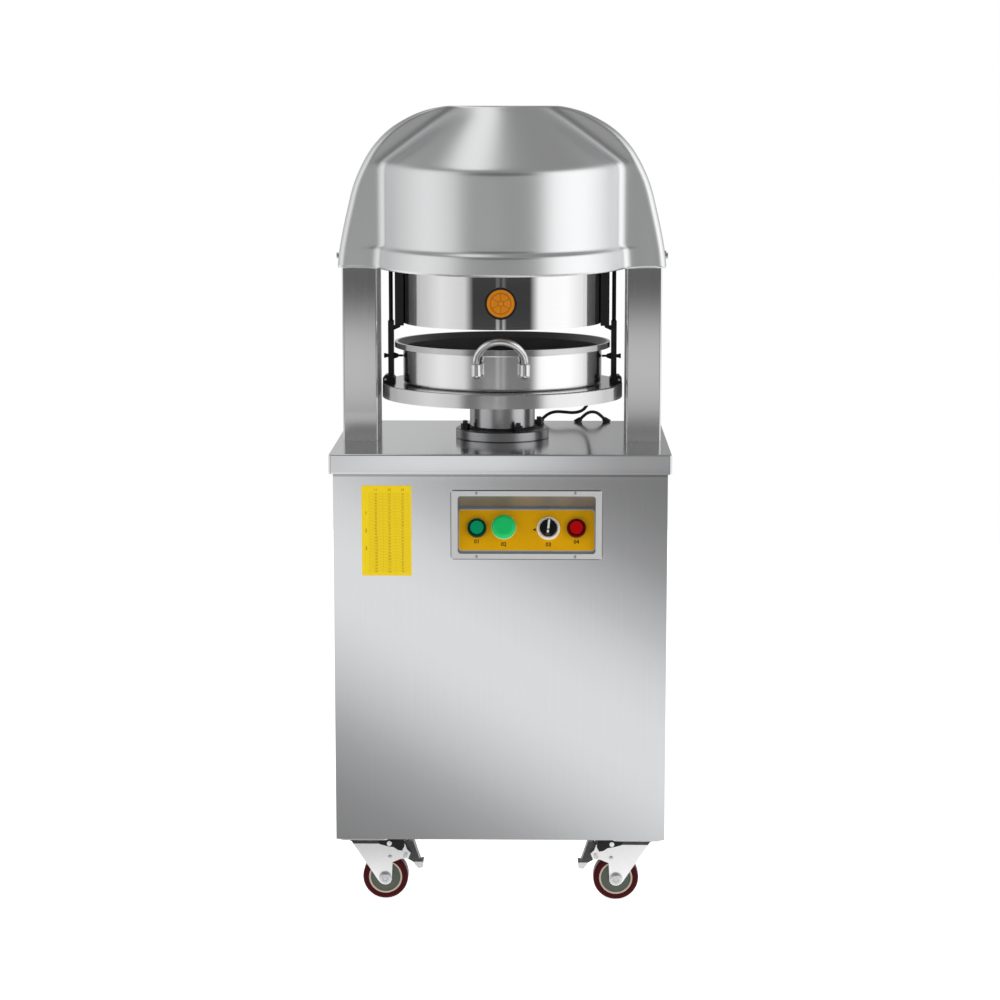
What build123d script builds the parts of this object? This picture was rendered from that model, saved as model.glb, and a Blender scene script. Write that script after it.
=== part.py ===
from build123d import *
import os
from math import cos, pi, radians, sin, sqrt, tan

# Driving dimensions, in millimetres. X is the width, -Y the front, Z up from the floor.
CABINET_W = 538.0
CABINET_D = 426.0
CABINET_BOTTOM = 113.0
SHEET = 2.0
TABLE_W = 550.0
TABLE_D = 446.0
TABLE_TOP = 752.0
TABLE_LIP = 32.0
POST_INNER_X = 206.0
POST_W = 58.0
POST_D = 110.0
POST_WALL = 3.0
BEAM_BOTTOM = 1046.0
BEAM_TOP = 1072.0
RUN = 0.06          # radial clearance of every shaft in its own bore
GAP = 0.4           # clearance between pieces that only stand near each other
SLACK = 0.3         # radial clearance of a fixed piece in its hole
CUT = 1.0           # how far a cut runs past the faces that it passes
FAR = 400.0         # half size of a cut that is larger than the piece

# Cabinet: folded edges, base, rear panel, mains gland and cover screws
TABLE_CORNER_R = 4.0
TABLE_EDGE_R = 2.5
POST_CORNER_R = 3.0
BASE_T = 4.0
REAR_FLANGE = 45.0
REAR_SILL = 25.0
REAR_HEAD = 55.0
PANEL_SIDE_GAP = 8.0
PANEL_END_GAP = 10.0
LOUVRE_COLUMNS = (-120.0, 0.0, 120.0)
LOUVRE_ROWS = 8
LOUVRE_START = 230.0
LOUVRE_W = 90.0
LOUVRE_H = 5.0
LOUVRE_PITCH = 14.0
COVER_SCREW_R = 2.5
COVER_SCREW_L = 12.0
COVER_HEAD_R = 5.0
COVER_HEAD = 3.0
REAR_SCREWS = [(x, z) for x in (-240, 240) for z in (150, 420, 690)]
HOOD_SCREWS = [(y, 1058) for y in (-30, 30)]
GLAND_Y = 120.0
GLAND_BORE_R = 6.0
GLAND_NECK_R = 9.0
GLAND_CAP_R = 10.0
GLAND_NUT_R = 12.0
GLAND_NUT_T = 6.0
GLAND_CAP_H = 12.0
GLAND_Z = (88.0, 135.0)

# Power pack in the cabinet
FLOOR_IN = CABINET_BOTTOM + BASE_T
MOTOR_X = -150.0
MOTOR_Z = FLOOR_IN + 95.0
MOTOR_R = 75.0
MOTOR_Y = (-110.0, 100.0)
MOTOR_FAN_R = 61.0
MOTOR_FAN_Y = -140.0
MOTOR_FOOT = (60.0, -90.0, 80.0, -40.0)
TERMINAL_BOX = (35.0, 40.0, 50.0, 105.0)
PUMP_R = 42.0
PUMP_END = 175.0
TANK_X = (70.0, 250.0)
TANK_Y = (-140.0, 150.0)
TANK_TOP = 320.0
TANK_WALL = 3.0
TANK_CORNER_R = 8.0
VALVE_X = (110.0, 210.0)
VALVE_Y = 60.0
VALVE_H = 80.0
COIL_R = 18.0
COIL_H = 60.0
COIL_Y = (-30.0, 30.0)
CONTACTOR_DEPTH = 70.0
CONTACTOR_Y = (-60.0, 120.0)
CONTACTOR_Z = (430.0, 640.0)

# Head: hood, drum and badge
HOOD_WALL = 3.0
HOOD_BOTTOM = 1043.0
HOOD_HALF_DEPTH = 66.0
HOOD_EDGE_R = 12.0
HOOD_SOFT_R = 5.0
HOOD_JOINT_R = 6.0
HOOD_MOUTH = 25.0
HOOD_SIDE_X = 271.0
HOOD_JOINT_X = (60.0, 220.0)
HOOD_SEAM_DROP = 0.4
HOOD_ARCH = [(272.5, 1043), (268, 1076), (258, 1131), (242.5, 1186),
             (213, 1239), (170, 1277), (105, 1301), (0, 1304)]
HOOD_RINGS = {"skirt_bottom": (214, 1041.4, 2.0), "skirt_top": (212, 1073, 2.2),
              "drum_bottom": (205, 1079, 2.2), "seam": (205, 1212, 3.4), "cap": (84, 1303, 0.5)}
DRUM_R = 165.5
DRUM_WALL = 3.0
DRUM_BOTTOM = 946.0
DRUM_CAP = 6.0
DRUM_HOLE_R = 40.0
BADGE_R = 26.0
BADGE_Z = 989.0
BADGE_PROUD = 3.0

# Press pads and knives: rings of 6, 12 and 18 equal portions
PORTION_R = 160.0
PORTION_RINGS = (6, 12, 18)
BLADE_T = 2.0
BLADE_GAP = 1.5
PAD_FACE = 948.0
PAD_T = 10.0
STEM_R = 5.0
STEM_HOLE_R = 6.0
INNER_STEM = 0.62     # where the stems of the wedge-shaped pads stand, as a share of their radius
BLADE_EDGE = 949.0
CARRIER_BOTTOM = 981.0
CARRIER_T = 8.0
PLATEN_BOTTOM = 1006.0
PLATEN_T = 8.0
PLATE_R = 155.0
SLEEVE_R = 28.0
SLEEVE_TOP = 1150.0
KNIFE_ROD_R = 18.0
KNIFE_ROD_TOP = 1172.0
PRESS_FOOT_R = 90.0
PRESS_FOOT_T = 12.0
PRESS_BARREL_R = 52.0
PRESS_BAND_R = 58.0
PRESS_BAND_T = 12.0
PRESS_BORE_R = 36.0
PRESS_LID = 20.0
PRESS_CYLINDER_TOP = 1238.0

# Ram, tray and pan
RAM_R = 54.5
PISTON_R = 60.0
PISTON_Z = (600.0, 640.0)
BARREL_R = 68.0
BARREL_BOTTOM = 405.0
BARREL_FLANGE_R = 80.0
BARREL_FLANGE_T = 18.0
BARREL_END = 15.0
FLANGE_R = 78.0
FLANGE_T = 16.5
FLANGE_EDGE = 1.2
FLANGE_EDGE_R = 3.0
BOLT_PCD_R = 67.5
BOLT_COUNT = 4
BOLT_START = 24.0
BOLT_R = 4.0
BOLT_AF = 13.0
BOLT_HEAD = 8.0
STUD_END = 5.0
WASHER_R = 7.7
WASHER_T = 1.5
TRAY_R = 201.0
TRAY_TOP = 845.5
TRAY_BOTTOM = 822.0
TRAY_PLATE = 8.0
TRAY_RIM = 6.0
TRAY_HUB_R = 75.0
TRAY_EDGE_R = 2.0
PAN_R = 166.0
PAN_WALL = 2.5
PAN_LIP_R = 180.0
PAN_MOUTH_R = 174.5
PAN_NECK = 905.0
PAN_RIM = 914.5
PAN_CORNER_R = 7.0
PAN_FOOT_R = 4.0
PAN_FLARE = 3.0
FERRULE_X = 39.0
FERRULE_Y = -176.0
FERRULE_R = 8.3
FERRULE_Z = (868.0, 892.0)
FERRULE_EDGE_R = 1.2
FERRULE_END_R = 6.5
FERRULE_FOOT = 5.0
BOW_R = 5.5
BOW_RISE = 38.0
BOW_LEAN = 30.0
BOW_CORNER_R = 38.5

# Side bars, guide rods and pan-centring screws, given for the right side
BAR_X = (182.0, 191.0)
BAR_Y = 11.0
BAR_TOP = 948.0
BAR_SEAT = 3.0
BAR_SLACK = 0.2
LUG_X = (179.5, 200.0)
LUG_Y = 16.0
LUG_TOP = 857.5
LUG_EDGE = 5.0
SHOE_Y = 7.0
SHOE_OUTLINE = [(171.0, 937.0), (171.0, 940.0), (182.1, 940.0), (182.1, 932.0)]
ROD_X = 186.5
ROD_R = 3.5
ROD_TOP = 1105.0
BLOCK_X = (163.5, 178.0)
BLOCK_Y = 34.0
BLOCK_BOTTOM = 942.0
BLOCK_GROOVE_X = 170.0
BLOCK_GROOVE_END = 20.0
SCREW_Z = 889.0
SCREW_R = 3.0
SCREW_TIP_R = 1.9
SCREW_PROFILE = [(166.6, 0), (166.6, SCREW_TIP_R), (182.6, SCREW_TIP_R), (182.6, SCREW_R),
                 (194.4, SCREW_R), (194.8, 3.8), (198.5, 4.1), (198.5, 0)]
BOSS_PROFILE = [(174.5, 0), (174.5, 3.0), (180.5, 5.2), (182.1, 5.2), (182.1, 0)]

# Controls on the cabinet front
PANEL_X = 42.5
PANEL_Z = 636.5
FRAME_W = 245.0
FRAME_H = 113.0
FRAME_T = 2.5
FRAME_CORNER_R = 6.0
FRAME_EDGE = 1.0
WINDOW_W = 222.0
WINDOW_H = 94.0
WINDOW_CORNER_R = 5.0
POCKET_T = 1.5
POCKET_DEEP_Y = -184.0
POCKET_DEEP_Z = 660.0
POCKET_LIP_Y = -210.0
PLATE_T = 2.0
PLATE_SIDE_GAP = 0.5
PLATE_END_GAP = 3.0
AMBER_CORNER_R = 6.0
DEVICE_V = 3.0
DEVICES = {"start": -80.3, "run": -36.8, "selector": 35.2, "stop": 80.3}
DEVICE_HOLE_R = 12.5
BUTTON_BEZEL_R = 15.5
BUTTON_CAP_R = 10.8
MUSHROOM_R = 20.0
SELECTOR_RING_R = 19.0
KNOB_R = 13.5
BEZEL_H = 7.0
RUN_BEZEL_H = 4.0
SELECTOR_RING_H = 5.0
CAP_PROUD = 2.0
CAP_LIFT = 1.0
CAP_TRAVEL = 4.0
CAP_WELL = 3.5
STEM_IN_R = 6.0
STEM_BACK = -3.0
STEM_BORE = -12.0
NECK_BACK = -14.0
CONTACT_BLOCK = (28.0, 26.0)
MUSHROOM_H = 11.0
MUSHROOM_CROWN_R = 8.0
MUSHROOM_RIM_R = 1.5
KNOB_H = 5.0
KNOB_STEM = -6.0
KNOB_SEAT = 0.5
GRIP_W = 7.0
GRIP_H = 10.5
SELECTOR_ANGLE = -6.0
CHART_X = (-223.0, -143.0)
CHART_Z = (553.0, 700.0)
CHART_T = 0.8

# Casters, given for the right side: the wheel trails inboard of the swivel axis
WHEEL_R = 37.5
WHEEL_W = 30.0
HUB_R = 25.0
HUB_W = 26.0
TREAD_EDGE_R = 5.0
SWIVEL_X = 225.0
SWIVEL_Y = 160.0
TRAIL = 34.0
AXLE_R = 5.0
FORK_GAP = 17.5
FORK_T = 2.5
FORK_TOP = 103.2
PLATE_W = 80.0
PLATE_D = 92.0
PLATE_THICK = 4.0
PLATE_CORNER_R = 8.0
RACE_R = 26.0
FORK_RACE_R = 23.0
FORK_RACE_T = 5.0
CROWN_U = (-24.0, 50.0)
CROWN_T = 3.0
AXLE_HEAD_R = 8.0
AXLE_HEAD = 5.0
KINGPIN_R = 6.0
FORK_OUTLINE = [(-24, FORK_TOP), (64, FORK_TOP), (70, 86), (76, 80), (72, 70), (60, 70), (46, 64), (44.5, 34),
                (42.5, 29.5), (38.5, 26.6), (34, 25.6), (29.5, 26.4), (25.5, 29), (22, 33)]
HUB_BOSS_R = 11.0
HUB_BOSS_W = 33.0
PEDAL_PIVOT = (68.0, 77.0)
PEDAL_PIN_R = 3.0
PEDAL_HALF_W = 12.0
PEDAL_PIN_END = 2.0
PEDAL_OUTLINE = [(61, 80), (72, 98), (80, 98), (92, 63), (97, 64), (96, 53), (88, 51), (79, 63), (70, 68),
                 (63, 71)]

# Leads at the rear of the tabletop: points of each route, which leave their grommets at half a right angle
LEAD_R = 2.8
LEAD_FILL = 0.45     # share of the shorter run that each arc takes
SENSOR_LEAD = [(68, 205, 758), (76, 205, 766), (90, 205, 770.5), (106, 205, 769.5), (122, 204.5, 768),
               (137, 202, 771.5), (146, 193, 783), (150, 174, 799), (151, 149, 810), (150, 128, 813.5),
               (150, 110, 813.5)]
SWITCH_LEAD = [(135, 205, 758), (142, 205, 765), (150, 206, 769.5), (160, 208, 769.5), (168, 209, 765),
               (175, 209, 758)]
GROMMET_R = 7.0
GROMMET_TIP_R = 3.9
SENSOR_X = 150.0
SENSOR_Y = (96.0, 110.0)
SENSOR_HALF_W = 7.0
SENSOR_BOTTOM = 806.0

CABINET_FRONT = -CABINET_D / 2
CABINET_SIDE = CABINET_W / 2
CABINET_REAR = CABINET_D / 2
TABLE_UNDER = TABLE_TOP - SHEET
POST_OUTER_X = POST_INNER_X + POST_W


def block(x, y, z):
    """A box between two values on each axis."""
    size = [b - a for a, b in (x, y, z)]
    middle = [(a + b) / 2 for a, b in (x, y, z)]
    return Pos(*middle) * Box(*size)


def rod(radius, z, x=0.0, y=0.0):
    """An upright cylinder between two heights."""
    return Pos(x, y, (z[0] + z[1]) / 2) * Cylinder(radius, z[1] - z[0])


def cross_rod(radius, y, x, z):
    """A cylinder along Y."""
    return Pos(x, (y[0] + y[1]) / 2, z) * Rot(90, 0, 0) * Cylinder(radius, y[1] - y[0])


def side_rod(radius, x, y, z):
    """A cylinder along X."""
    return Pos((x[0] + x[1]) / 2, y, z) * Rot(0, 90, 0) * Cylinder(radius, x[1] - x[0])


def turned(profile):
    """A solid turned about Z from (radius, height) points."""
    return revolve(make_face(Polyline(*[(r, 0, z) for r, z in profile], close=True)), Axis.Z)


def both_sides(shape):
    """A piece and its mirror image, as two separate solids."""
    return Compound(children=[shape, mirror(shape, about=Plane.YZ)])


def side_profile(points, x):
    """A prism along X from (y, z) points."""
    face = make_face(Polyline(*[(x[0], y, z) for y, z in points], close=True))
    return extrude(face, amount=x[1] - x[0], dir=(1, 0, 0))


def front_profile(points, y):
    """A prism along Y from (x, z) points."""
    face = make_face(Polyline(*[(x, y[0], z) for x, z in points], close=True))
    return extrude(face, amount=y[1] - y[0], dir=(0, 1, 0))


# Cabinet
def rear_holes():
    y = (CABINET_REAR - COVER_SCREW_L, CABINET_REAR + COVER_SCREW_L)
    return [cross_rod(COVER_SCREW_R + SLACK, y, x, z) for x, z in REAR_SCREWS]


def cabinet_shell():
    """Folded sheet, open above, below and at the rear, with the window for the controls."""
    x, y, z = CABINET_SIDE, CABINET_REAR, (CABINET_BOTTOM, TABLE_UNDER)
    shell = block((-x, x), (-y, y), z) - block((-x + SHEET, x - SHEET), (-y + SHEET, y - SHEET), z)
    opening = x - REAR_FLANGE
    shell -= block((-opening, opening), (y - SHEET - CUT, y + CUT), (z[0] + REAR_SILL, z[1] - REAR_HEAD))
    half_w = WINDOW_W / 2 + POCKET_T + GAP
    half_h = WINDOW_H / 2 + POCKET_T + GAP
    shell -= block((PANEL_X - half_w, PANEL_X + half_w), (-y - CUT, -y + SHEET + CUT),
                   (PANEL_Z - half_h, PANEL_Z + half_h))
    return shell - rear_holes()


def base_plate():
    x, y = CABINET_SIDE - SHEET, CABINET_REAR - SHEET
    plate = block((-x, x), (-y, y), (CABINET_BOTTOM, FLOOR_IN))
    return plate - rod(GLAND_NECK_R + SLACK, (CABINET_BOTTOM - CUT, FLOOR_IN + CUT), 0, GLAND_Y)


def gland_nut(bottom, top):
    return Pos(0, 0, bottom) * extrude(RegularPolygon(GLAND_NUT_R, 6), top - bottom)


def power_gland():
    """Threaded neck through the base plate, with a cap below and a hexagon on each side of the plate."""
    bottom, top = GLAND_Z
    cap_top = bottom + GLAND_CAP_H
    body = rod(GLAND_NECK_R, (cap_top, top)) + rod(GLAND_CAP_R, (bottom, cap_top))
    body += gland_nut(cap_top, CABINET_BOTTOM) + gland_nut(FLOOR_IN, FLOOR_IN + GLAND_NUT_T)
    return Pos(0, GLAND_Y, 0) * (body - rod(GLAND_BORE_R, (bottom - CUT, top + CUT)))


def rear_panel():
    x = CABINET_SIDE - PANEL_SIDE_GAP
    z = (CABINET_BOTTOM + PANEL_END_GAP, TABLE_TOP - TABLE_LIP - PANEL_END_GAP)
    panel = block((-x, x), (CABINET_REAR, CABINET_REAR + SHEET), z)
    slot = extrude(SlotOverall(LOUVRE_W, LOUVRE_H), 2 * SHEET, both=True)
    for column in LOUVRE_COLUMNS:
        for row in range(LOUVRE_ROWS):
            panel -= Pos(column, CABINET_REAR, LOUVRE_START + row * LOUVRE_PITCH) * Rot(90, 0, 0) * slot
    return panel - rear_holes()


def cover_screws():
    """Screws of the rear panel and of the hood's two sides."""
    face = CABINET_REAR + SHEET
    screws = []
    for x, z in REAR_SCREWS:
        screws.append(cross_rod(COVER_SCREW_R, (face - COVER_SCREW_L, face + COVER_HEAD), x, z)
                      + cross_rod(COVER_HEAD_R, (face, face + COVER_HEAD), x, z))
    head = HOOD_SIDE_X + COVER_HEAD
    for y, z in HOOD_SCREWS:
        screw = side_rod(COVER_SCREW_R, (POST_OUTER_X - 2 * POST_WALL, head), y, z)
        screw += side_rod(COVER_HEAD_R, (HOOD_SIDE_X, head), y, z)
        screws += [screw, mirror(screw, about=Plane.YZ)]
    return Compound(children=screws)


def bolt_places():
    step = 360 / BOLT_COUNT
    angles = [radians(BOLT_START + i * step) for i in range(BOLT_COUNT)]
    return [(BOLT_PCD_R * cos(a), BOLT_PCD_R * sin(a)) for a in angles]


def tabletop():
    x, y = TABLE_W / 2, TABLE_D / 2
    z = (TABLE_TOP - TABLE_LIP, TABLE_TOP)
    top = fillet(block((-x, x), (-y, y), z).edges().filter_by(Axis.Z), TABLE_CORNER_R)
    top = fillet(top.faces().sort_by(Axis.Z)[-1].edges(), TABLE_EDGE_R)
    top -= block((-x + SHEET, x - SHEET), (-y + SHEET, y - SHEET), (z[0] - CUT, z[1] - SHEET))
    top -= rod(PISTON_R, (z[0], z[1] + CUT))
    for bx, by in bolt_places():
        top -= rod(BOLT_R + SLACK, (z[0], z[1] + CUT), bx, by)
    return top


def post(side):
    x = sorted((side * POST_INNER_X, side * POST_OUTER_X))
    inner = sorted((side * (POST_INNER_X + POST_WALL), side * (POST_OUTER_X - POST_WALL)))
    y = POST_D / 2
    z = (TABLE_TOP, BEAM_TOP)
    tube = block(x, (-y, y), z)
    tube = fillet(tube.edges().filter_by(Axis.Z), POST_CORNER_R)
    tube -= block(inner, (-y + POST_WALL, y - POST_WALL), (z[0] - CUT, z[1] + CUT))
    for screw_y, screw_z in HOOD_SCREWS:
        hole = sorted((side * (POST_OUTER_X - 2 * POST_WALL), side * (POST_OUTER_X + CUT)))
        tube -= side_rod(COVER_SCREW_R + SLACK, hole, screw_y, screw_z)
    return tube


def head_beam():
    x, y = POST_INNER_X, POST_D / 2
    beam = block((-x, x), (-y, y), (BEAM_BOTTOM, BEAM_TOP))
    beam -= rod(SLEEVE_R + RUN, (BEAM_BOTTOM - CUT, BEAM_TOP + CUT))
    for side in (-1, 1):
        beam -= rod(ROD_R + RUN, (BEAM_BOTTOM - CUT, BEAM_TOP + CUT), side * ROD_X)
    return beam


# Head
def tilted_ring(name, inset, lower=0.0):
    """A circle whose front edge dips, as the hood's rings do."""
    radius, z, tilt = HOOD_RINGS[name]
    lean = radians(tilt)
    plane = Plane(origin=(0, 0, z - lower), x_dir=(1, 0, 0), z_dir=(0, -sin(lean), cos(lean)))
    return plane * Circle(radius - inset)


def hood_bulge(inset):
    """Front half of the skirt, drum and cone, mirrored to the back; with an inset, the space inside them."""
    mouth = HOOD_MOUTH if inset else 0.0
    rings = [("skirt_bottom", mouth), ("skirt_top", 0), ("drum_bottom", 0), ("seam", inset * HOOD_SEAM_DROP),
             ("cap", inset)]
    sections = [tilted_ring(name, inset, lower) for name, lower in rings]
    bulge = loft(sections[:2], ruled=True)
    for low, high in zip(sections[1:], sections[2:]):
        bulge += loft([low, high], ruled=True)
    if not inset:
        low = HOOD_RINGS["skirt_top"][1] - HOOD_EDGE_R
        high = HOOD_RINGS["seam"][1] + HOOD_EDGE_R
        creases = [e for e in bulge.edges() if e.geom_type == GeomType.CIRCLE and low < e.center().Z < high]
        bulge = fillet(creases, HOOD_SOFT_R)
    front = bulge & block((-FAR, FAR), (-FAR, 0), (HOOD_BOTTOM - FAR, HOOD_BOTTOM + FAR))
    return front + mirror(front, about=Plane.XZ)


def hood_arch(inset):
    """The arch-shaped body over the posts, with rounded edges; with an inset, the space inside it."""
    shrink = 1 - inset / HOOD_ARCH[0][0]
    points = [(x * shrink, 0, HOOD_BOTTOM + (z - HOOD_BOTTOM) * shrink) for x, z in HOOD_ARCH]
    right = Spline(*points, tangents=[(-0.1, 0, 1), (-1, 0, 0)])
    left = mirror(right, about=Plane.YZ)
    half_width = points[0][0]
    base = Line((-half_width, 0, HOOD_BOTTOM), (half_width, 0, HOOD_BOTTOM))
    depth = HOOD_HALF_DEPTH - inset
    arch = extrude(make_face(Curve() + [right, left, base]), amount=depth, dir=(0, 1, 0), both=True)
    rim = [e for e in arch.edges() if on_depth(e.center(), depth) and e.center().Z > HOOD_BOTTOM + CUT]
    arch = fillet(rim, HOOD_EDGE_R - inset)
    if inset:
        arch += block((-half_width, half_width), (-depth, depth), (HOOD_BOTTOM - HOOD_MOUTH, HOOD_BOTTOM))
    return arch


def on_depth(spot, depth):
    """True for a point on the front or rear face of the arch."""
    return abs(abs(spot.Y) - depth) < 0.05


def hood():
    """One shell: the arch and the bulge blended into each other, hollow and open below."""
    outer = hood_arch(0) + hood_bulge(0)
    joint = []
    for edge in outer.edges():
        spot = edge.center()
        on_face = all(on_depth(v, HOOD_HALF_DEPTH) for v in edge.vertices() + [spot])
        if on_face and spot.Z > HOOD_BOTTOM + 3 * CUT and HOOD_JOINT_X[0] < abs(spot.X) < HOOD_JOINT_X[1]:
            joint.append(edge)
    shell = fillet(joint, HOOD_JOINT_R) - (hood_arch(HOOD_WALL) + hood_bulge(HOOD_WALL))
    for y, z in HOOD_SCREWS:
        hole = side_rod(COVER_SCREW_R + SLACK, (POST_OUTER_X, FAR), y, z)
        seat = side_rod(COVER_HEAD_R + CUT, (HOOD_SIDE_X, FAR), y, z)
        shell = shell - [hole, seat, mirror(hole, about=Plane.YZ), mirror(seat, about=Plane.YZ)]
    return shell


def head_drum():
    drum = rod(DRUM_R, (DRUM_BOTTOM, BEAM_BOTTOM))
    drum -= rod(DRUM_R - DRUM_WALL, (DRUM_BOTTOM - CUT, BEAM_BOTTOM - DRUM_CAP))
    return drum - rod(DRUM_HOLE_R, (DRUM_BOTTOM, BEAM_BOTTOM + CUT))


def badge():
    """Plain disc whose back follows the drum."""
    disc = cross_rod(BADGE_R, (-DRUM_R - BADGE_PROUD, -DRUM_R + BADGE_R / 2), 0, BADGE_Z)
    return disc - rod(DRUM_R + RUN, (BADGE_Z - 2 * BADGE_R, BADGE_Z + 2 * BADGE_R))


def guide_blocks():
    guide = block(BLOCK_X, (-BLOCK_Y, BLOCK_Y), (BLOCK_BOTTOM, BEAM_BOTTOM))
    guide -= rod(DRUM_R + RUN, (BLOCK_BOTTOM - CUT, BEAM_BOTTOM + CUT))
    guide -= block((BLOCK_GROOVE_X, BLOCK_X[1] + CUT), (-SHOE_Y - CUT, SHOE_Y + CUT),
                   (BLOCK_BOTTOM - CUT, BEAM_BOTTOM - BLOCK_GROOVE_END))
    return both_sides(guide)


def press_cylinder():
    """Upright cylinder on a foot that is cut flat to the beam's depth, with a band at each end."""
    foot_top = BEAM_TOP + PRESS_FOOT_T
    foot = rod(PRESS_FOOT_R, (BEAM_TOP, foot_top))
    foot &= block((-PRESS_FOOT_R, PRESS_FOOT_R), (-PRESS_BARREL_R, PRESS_BARREL_R), (BEAM_TOP, foot_top))
    body = foot + rod(PRESS_BARREL_R, (foot_top, PRESS_CYLINDER_TOP))
    body += rod(PRESS_BAND_R, (foot_top, foot_top + PRESS_BAND_T))
    body += rod(PRESS_BAND_R, (PRESS_CYLINDER_TOP - PRESS_BAND_T, PRESS_CYLINDER_TOP))
    return body - rod(PRESS_BORE_R, (BEAM_TOP - CUT, PRESS_CYLINDER_TOP - PRESS_LID))


# Press pads and knives
def portion_radii():
    total = sum(PORTION_RINGS)
    edges = [0.0]
    filled = 0
    for count in PORTION_RINGS:
        filled += count
        edges.append(PORTION_R * sqrt(filled / total))
    return edges


def ring_angles(count):
    return [360 / count * (i + 0.5) for i in range(count)]


def pad_places():
    edges = portion_radii()
    places = []
    for count, inner, outer in zip(PORTION_RINGS, edges, edges[1:]):
        middle = (inner + outer) / 2 if inner else INNER_STEM * outer
        places += [(middle * cos(radians(a)), middle * sin(radians(a))) for a in ring_angles(count)]
    return places


def spokes(count, start, length, width):
    """Flat bars that point out from the middle, evenly spaced."""
    bar = Pos(start + length / 2, 0) * Rectangle(length, width)
    return [Rot(0, 0, 360 / count * i) * bar for i in range(count)]


def press_pads():
    edges = portion_radii()
    clear = BLADE_T / 2 + BLADE_GAP
    faces = Sketch()
    for count, inner, outer in zip(PORTION_RINGS, edges, edges[1:]):
        ring = Circle(outer - clear)
        if inner:
            ring -= Circle(inner + clear)
        faces += ring - spokes(count, 0, outer + clear, 2 * clear)
    pads = extrude(Pos(0, 0, PAD_FACE) * faces, PAD_T)
    stems = [rod(STEM_R, (PAD_FACE + PAD_T - CUT, PLATEN_BOTTOM), x, y) for x, y in pad_places()]
    return pads + stems


def press_platen():
    """Platen welded to the hollow press rod."""
    top = PLATEN_BOTTOM + PLATEN_T
    platen = rod(PLATE_R, (PLATEN_BOTTOM, top)) + rod(SLEEVE_R, (PLATEN_BOTTOM, SLEEVE_TOP))
    return platen - rod(KNIFE_ROD_R, (PLATEN_BOTTOM - CUT, SLEEVE_TOP + CUT))


def knife_grid():
    edges = portion_radii()
    half = BLADE_T / 2
    grid = Sketch()
    for count, inner, outer in zip(PORTION_RINGS, edges, edges[1:]):
        if outer < edges[-1]:
            grid += Circle(outer + half) - Circle(outer - half)
        grid += spokes(count, inner, outer - inner, BLADE_T)
    return extrude(Pos(0, 0, BLADE_EDGE) * grid, CARRIER_BOTTOM - BLADE_EDGE)


def knife_carrier():
    top = CARRIER_BOTTOM + CARRIER_T
    plate = rod(PLATE_R, (CARRIER_BOTTOM, top))
    return plate - [rod(STEM_HOLE_R, (CARRIER_BOTTOM - CUT, top + CUT), x, y) for x, y in pad_places()]


def knife_rod():
    return rod(KNIFE_ROD_R - RUN, (CARRIER_BOTTOM + CARRIER_T, KNIFE_ROD_TOP))


# Ram, tray and pan
def lift_cylinder():
    body = rod(BARREL_R, (BARREL_BOTTOM, TABLE_UNDER))
    body += rod(BARREL_FLANGE_R, (TABLE_UNDER - BARREL_FLANGE_T, TABLE_UNDER))
    body -= rod(PISTON_R, (BARREL_BOTTOM + BARREL_END, TABLE_UNDER + CUT))
    for x, y in bolt_places():
        body -= rod(BOLT_R + RUN, (TABLE_UNDER - BARREL_FLANGE_T - CUT, TABLE_UNDER + CUT), x, y)
    return body


def base_flange():
    flange = rod(FLANGE_R, (TABLE_TOP, TABLE_TOP + FLANGE_T))
    flange = fillet(flange.faces().sort_by(Axis.Z)[-1].edges(), FLANGE_EDGE_R)
    flange = chamfer(flange.faces().sort_by(Axis.Z)[0].edges(), FLANGE_EDGE)
    flange -= rod(RAM_R + RUN, (TABLE_TOP - CUT, TABLE_TOP + FLANGE_T + CUT))
    for x, y in bolt_places():
        flange -= rod(BOLT_R + SLACK, (TABLE_TOP - CUT, TABLE_TOP + FLANGE_T + CUT), x, y)
    return flange


def flange_bolts():
    """Studs from the lift cylinder's flange, with a washer and a hexagon nut each."""
    seat = TABLE_TOP + FLANGE_T
    nut = extrude(RegularPolygon(BOLT_AF / 2, 6, major_radius=False), BOLT_HEAD)
    top = seat + WASHER_T + BOLT_HEAD + STUD_END
    bolts = []
    for x, y in bolt_places():
        bolt = Pos(x, y, seat + WASHER_T) * nut + rod(WASHER_R, (seat, seat + WASHER_T), x, y)
        bolts.append(bolt + rod(BOLT_R, (TABLE_UNDER - BARREL_FLANGE_T + CUT, top), x, y))
    return Compound(children=bolts)


def lift_ram():
    return rod(RAM_R, (PISTON_Z[1], TRAY_BOTTOM)) + rod(PISTON_R - RUN, PISTON_Z)


def tray():
    """Round plate with a turned rim and a hub below."""
    plate = rod(TRAY_R, (TRAY_BOTTOM, TRAY_TOP))
    plate = fillet(plate.faces().sort_by(Axis.Z)[-1].edges(), TRAY_EDGE_R)
    hollow = rod(TRAY_R - TRAY_RIM, (TRAY_BOTTOM - CUT, TRAY_TOP - TRAY_PLATE))
    return plate - (hollow - rod(TRAY_HUB_R, (TRAY_BOTTOM - CUT, TRAY_TOP)))


def tray_lugs():
    """A lug on each edge of the tray, slotted for its side bar."""
    lug = block(LUG_X, (-LUG_Y, LUG_Y), (TRAY_TOP, LUG_TOP))
    lug = chamfer(lug.faces().sort_by(Axis.Z)[-1].edges().filter_by(Axis.Y), LUG_EDGE)
    lug -= block((BAR_X[0] - BAR_SLACK, BAR_X[1] + BAR_SLACK), (-BAR_Y - BAR_SLACK, BAR_Y + BAR_SLACK),
                 (TRAY_TOP + BAR_SEAT, LUG_TOP + CUT))
    return both_sides(lug)


def along_screw(profile):
    """A piece turned about the centring screw's axis from (x, radius) points."""
    face = make_face(Polyline(*[(x, 0, SCREW_Z + r) for x, r in profile], close=True))
    return revolve(face, Axis((0, 0, SCREW_Z), (1, 0, 0)))


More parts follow.
